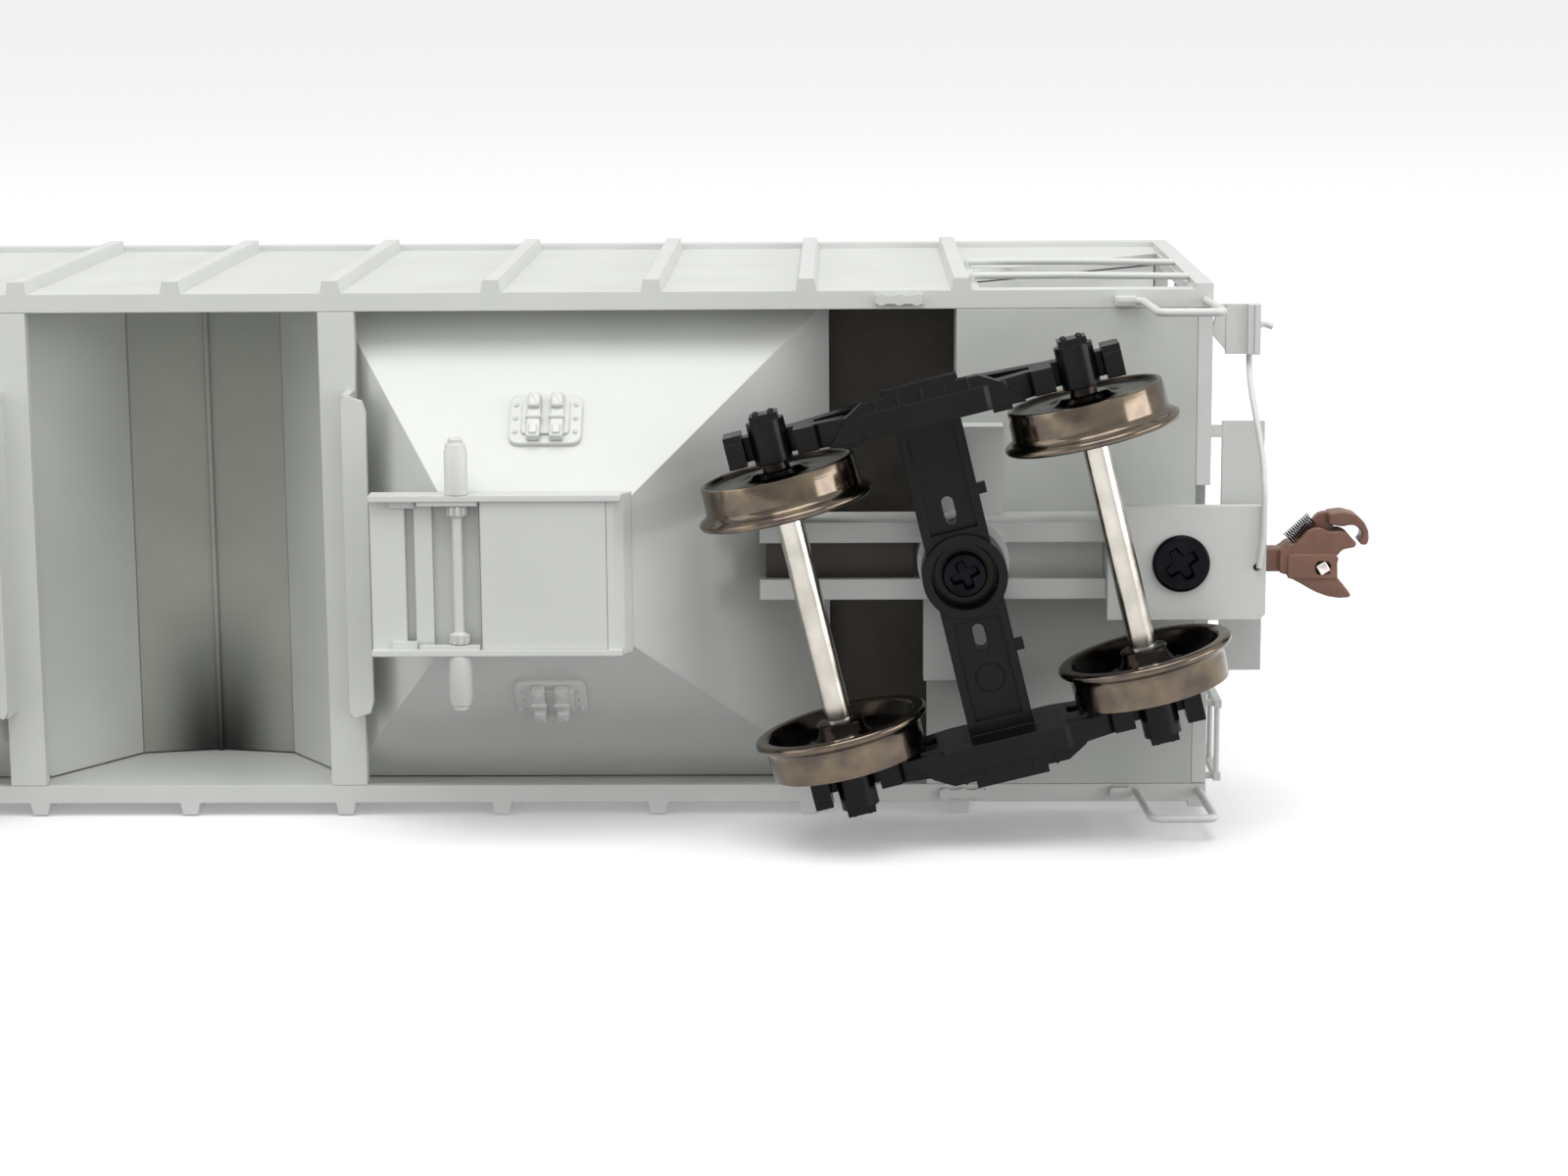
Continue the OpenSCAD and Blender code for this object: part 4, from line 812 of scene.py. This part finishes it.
RIVET_HEAD = [(0.12, -0.47), (0.49, 0.14), (-0.12, 0.49), (-0.49, -0.14)]
HOLE_R, SHANK = 0.56, 0.78

cheek = rounded(CHEEK, 0.18, 5, closed=True)
RING = [(1.42, -0.75), (2.15, -0.75), (2.15, 0.75), (1.42, 0.75), (1.42, -0.75)]
ring = moved(lathe(RING, 40), (COVER_X, 0, COUPLER_Z), y=(0, 0, 1), z=(0, 1, 0))
head_parts = [
    holed_slab(cheek, RIVET, HOLE_R, 9.06, 9.76, 0.08),
    holed_slab(cheek, RIVET, HOLE_R, 11.34, 12.04, 0.08),
    mould(SHOULDER, 9.28, 9.8, 0.12, 0.24), mould(SHOULDER, 11.3, 11.82, 0.12, 0.24),
    mould(GUARD, 9.2, 11.9, 0.16, 0.12), mould(THROAT, 9.34, 11.76, 0.16),
    slab(box_outline(91.8, 97.2, -0.8, 0.8, 0.2), COUPLER_Z - SHANK, COUPLER_Z + SHANK, 0.16),
    ring]
hub = moved(lathe([(0, -0.7), (0.74, -0.7), (0.78, -0.62), (0.78, 0.62), (0.74, 0.7), (0, 0.7)],
                  40), (*RIVET, COUPLER_Z), y=(0, 0, 1), z=(0, 1, 0))
knuckle_parts = [mould(CLAW, 9.5, 11.6, 0.13, 0.16), hub, mould(WEB, 10.44, 11.26, 0.06, 0.2)]
rivet_parts = [
    slab(rounded(RIVET_HEAD, 0.07, 4, closed=True) + np.array(RIVET), 8.92, 9.5, 0.06),
    moved(lathe([(0, -1.2), (0.34, -1.2), (0.34, 1.42), (0.28, 1.5), (0, 1.52)], 24),
          (*RIVET, COUPLER_Z), y=(0, 0, 1), z=(0, 1, 0))]

# The real wire is about 0.06 mm thick in some 20 turns; it is drawn a little coarser to show
SPRING_ENDS = np.array([(97.2, -1.42, 9.9), (98.72, -2.82, 9.9)])
along = SPRING_ENDS[1] - SPRING_ENDS[0]
length = float(np.linalg.norm(along))
along = along / length
spring = moved(coil(0, length, 0.47, 0.043, 12, per_turn=18, sides=6), SPRING_ENDS[0],
               x=np.cross(along, (0, 0, 1)), y=(0, 0, 1), z=along)

for end, turn in (("a", lambda q: q), ("b", half_turned)):
    body = "coupler_body_" + end
    piece("coupler_head_" + end, [turn(p) for p in head_parts], brown_acetal, body,
          ["coupler_" + end])
    piece("knuckle_claw_" + end, [turn(p) for p in knuckle_parts], brown_acetal, "jaw_" + end,
          ["knuckle_" + end])
    piece("rivet_pin_" + end, [turn(p) for p in rivet_parts], rivet_steel, body,
          ["knuckle_rivet_" + end])
    piece("knuckle_coil_" + end, turn(spring), spring_wire, body, ["knuckle_spring_" + end])
print("couplers moulded")

# %% [markdown]
# ## Roof walks
# Real running boards are open steel gratings. Long bars and short cross bars are worked out as
# arrays of boxes, a few faces each, between two edge beams that stand on little legs.

# %% Build the gratings
CROWN_Z, ROOF_HALF, ROOF_RISE = 51.3, 18.15, 1.8
ROOF_R = (ROOF_HALF ** 2 + ROOF_RISE ** 2) / (2 * ROOF_RISE)
BOARD_IN, BOARD_OUT, BOARD_X, BOARD_Z, BOARD_T = 5.2, 8.4, 93.3, 52.5, 0.4
POST_X = np.array([0, 10.93, 21.47, 32.4, 43.33, 54.26, 64.8, 75.34])


def grating(x0, x1, y0, y1, long_pitch=0.62, cross_pitch=1.0, bar=0.14):
    """Bars of one width at even pitches both ways, inside a frame of deeper edge beams."""
    z0, z1 = BOARD_Z, BOARD_Z + BOARD_T
    ys = np.linspace(y0, y1 - bar, max(2, round((y1 - y0) / long_pitch)))
    xs = np.linspace(x0, x1 - bar, max(2, round((x1 - x0) / cross_pitch)))
    lows = [(x0, y, z0 + 0.1) for y in ys] + [(x, y0 + 0.02, z0 + 0.16) for x in xs]
    highs = [(x1, y + bar, z1) for y in ys] + [(x + bar, y1 - 0.02, z1 - 0.03) for x in xs]
    for y in (y0, y1 - 0.2):
        lows.append((x0, y, z0))
        highs.append((x1, y + 0.2, z1))
    return bars(lows, highs)


def roof_height(y):
    """The roof's arc: crown - R + sqrt(R^2 - y^2)."""
    return CROWN_Z - ROOF_R + np.sqrt(ROOF_R ** 2 - y ** 2)


leg_x = np.concatenate([-POST_X[:0:-1], POST_X]) + 2
legs = []
for y in (BOARD_IN + 0.2, BOARD_OUT - 0.8):
    foot = float(roof_height(np.array(y))) - 0.02
    legs.append(bars([(x - 0.3, y, foot) for x in leg_x],
                     [(x + 0.3, y + 0.6, BOARD_Z + 0.12) for x in leg_x]))
walk = [grating(-BOARD_X, BOARD_X, BOARD_IN, BOARD_OUT), *legs,
        grating(86, 92, BOARD_OUT + 0.02, SIDE_Y + 0.38, 0.7, 0.75)]
END_LEG_X, END_LEG_Y = (86.8, 91), (16.45, 17.25)
foot = float(roof_height(np.array(END_LEG_Y[0]))) - 0.02
walk.append(bars([(x, END_LEG_Y[0], foot) for x in END_LEG_X],
                 [(x + 0.6, END_LEG_Y[1], BOARD_Z + 0.12) for x in END_LEG_X]))
piece("roof_walk_gratings", walk + [half_turned(p) for p in walk], grey_paint, "car",
      ["running_boards"], sharp=20)

# %% [markdown]
# ## Hatch lugs
# Each trough hatch is held down by bars that run across it. Where a bar meets the coaming there
# is a small block with a round nut. Nothing new is needed: a slab and a dome, placed in a loop.

# %% Add the hatch fittings
HATCH_GAP, COAMING_X, COAMING_Z, HATCH_HALF = 0.5, 79.5, 52.3, 3.7
hatch_length = (2 * COAMING_X - 3 * HATCH_GAP) / 4
bar_x = np.array([i * (hatch_length + HATCH_GAP) - COAMING_X + hatch_length * (2 * k + 1) / 6
                  for i in range(4) for k in range(3)])
LUG_Y, LUG_HALF = 3.95, (0.55, 0.35)
lugs = []
for x in bar_x:
    for s in (-1, 1):
        lugs.append(moved(dome(0.3, 0.2, 12), (x, s * (HATCH_HALF + 0.2), COAMING_Z + 0.72)))
        block = box_outline(x - LUG_HALF[0], x + LUG_HALF[0], s * LUG_Y - LUG_HALF[1],
                            s * LUG_Y + LUG_HALF[1], 0.15)
        lugs.append(slab(block, COAMING_Z - 0.7, COAMING_Z + 0.75, 0.08))
piece("hatch_lugs", lugs, grey_paint, "car")
print("hatch lugs:", len(lugs))

# %% [markdown]
# ## World
# The car lies under a big white tent. The world gives the tent's light: brightest from above,
# dimmest from the table's side, with a slight slope to one end, which lets the sheets read
# apart. What the lens sees directly is a plain white backdrop.

# %% Put up the tent
scene = bpy.context.scene
scene.view_settings.view_transform = "Standard"
TENT_TOP, TENT_BOTTOM, TENT_AHEAD, TENT_END = 1.12, 0.12, -0.08, 0.1

world = bpy.data.worlds.new("white_tent")
scene.world = world
world.use_nodes = True
sky = world.node_tree
sky.nodes.clear()
direction = add(sky, "ShaderNodeTexCoord")
aim = add(sky, "ShaderNodeSeparateXYZ", {"Vector": (direction, "Generated")})
height = add(sky, "ShaderNodeMapRange", {
    "Value": (aim, "Y"), "From Min": -1.0, "From Max": 1.0, "To Min": TENT_TOP,
    "To Max": TENT_BOTTOM}, clamp=False)
ahead = add(sky, "ShaderNodeMath", {0: (aim, "Z"), 1: TENT_AHEAD, 2: (height, 0)},
            operation="MULTIPLY_ADD")
glow = add(sky, "ShaderNodeMath", {0: (aim, "X"), 1: TENT_END, 2: (ahead, 0)},
           operation="MULTIPLY_ADD")
tent = add(sky, "ShaderNodeBackground", {"Color": (1, 1, 1, 1), "Strength": (glow, 0)})
backdrop = add(sky, "ShaderNodeBackground", {"Color": linear("#FDFDFD"), "Strength": 1.0})
ray = add(sky, "ShaderNodeLightPath")
both = add(sky, "ShaderNodeMixShader", {
    0: (ray, "Is Camera Ray"), 1: (tent, 0), 2: (backdrop, 0)})
add(sky, "ShaderNodeOutputWorld", {"Surface": (both, 0)})
print("tent strength from", TENT_BOTTOM, "to", TENT_TOP)

# %% [markdown]
# ## Table
# The car lies with its side on a white table. The table catches the shadow and a little glow
# of its own, and it is clear from behind so that every side of the car can be looked at.

# %% Lay the table
TABLE_GAP, TABLE_SIZE = 0.1 * MM, 6.0
table_y = cad_box[1][1] + TABLE_GAP


def laminate():
    """Matt white with a faint glow on its front, and clear on its back."""
    mat = bpy.data.materials.new("white_laminate_table")
    mat.use_nodes = True
    tree = mat.node_tree
    tree.nodes.clear()
    matte = add(tree, "ShaderNodeBsdfDiffuse", {"Color": linear("#ECECED")})
    faint = add(tree, "ShaderNodeEmission", {"Color": (1, 1, 1, 1), "Strength": 0.09})
    lit = add(tree, "ShaderNodeAddShader", {0: (matte, 0), 1: (faint, 0)})
    clear = add(tree, "ShaderNodeBsdfTransparent")
    side = add(tree, "ShaderNodeNewGeometry")
    pick = add(tree, "ShaderNodeMixShader", {
        0: (side, "Backfacing"), 1: (lit, 0), 2: (clear, 0)})
    add(tree, "ShaderNodeOutputMaterial", {"Surface": (pick, 0)})
    return mat


mesh = bpy.data.meshes.new("table")
mesh.from_pydata([(x, table_y, z) for x, z in (
    (-TABLE_SIZE, -TABLE_SIZE), (TABLE_SIZE, -TABLE_SIZE), (TABLE_SIZE, TABLE_SIZE),
    (-TABLE_SIZE, TABLE_SIZE))], [], [(0, 1, 2, 3)])
mesh.materials.append(laminate())
table = bpy.data.objects.new("table", mesh)
scene.collection.objects.link(table)
table.visible_diffuse = table.visible_transmission = table.visible_shadow = False
print("table at y =", round(table_y / MM, 2), "mm; normal", tuple(mesh.polygons[0].normal))

# %% [markdown]
# ## Lamps
# Three big soft lamps stand round the lens: one overhead, and a strip and a fill at the sides,
# which put long streaks on the axles and treads. A fourth lights the far side of the car.

# %% Hang the lamps
def softbox(name, where, at, width, height, watts):
    """An area lamp at where (metres), facing at."""
    data = bpy.data.lights.new(name, "AREA")
    data.shape, data.size, data.size_y, data.energy = "RECTANGLE", width, height, watts
    lamp = bpy.data.objects.new(name, data)
    scene.collection.objects.link(lamp)
    facing = (Vector(at) - Vector(where)).to_track_quat("-Z", "Y").to_matrix().to_4x4()
    lamp.matrix_world = Matrix.Translation(where) @ facing
    return lamp


softbox("overhead_softbox", (0.03, -0.6, -0.2), (0.05, 0, 0.02), 0.5, 0.4, 2.1)
softbox("side_strip_softbox", (0.62, -0.12, -0.16), (0.07, 0, 0.01), 0.18, 0.45, 1.2)
softbox("side_fill_softbox", (-0.6, -0.2, -0.2), (0.03, 0, 0.01), 0.5, 0.5, 1.2)
softbox("back_fill_softbox", (0.0, 0.6, 0.4), (0.0, 0, 0.03), 0.6, 0.6, 1.6)

# %% [markdown]
# ## Finish
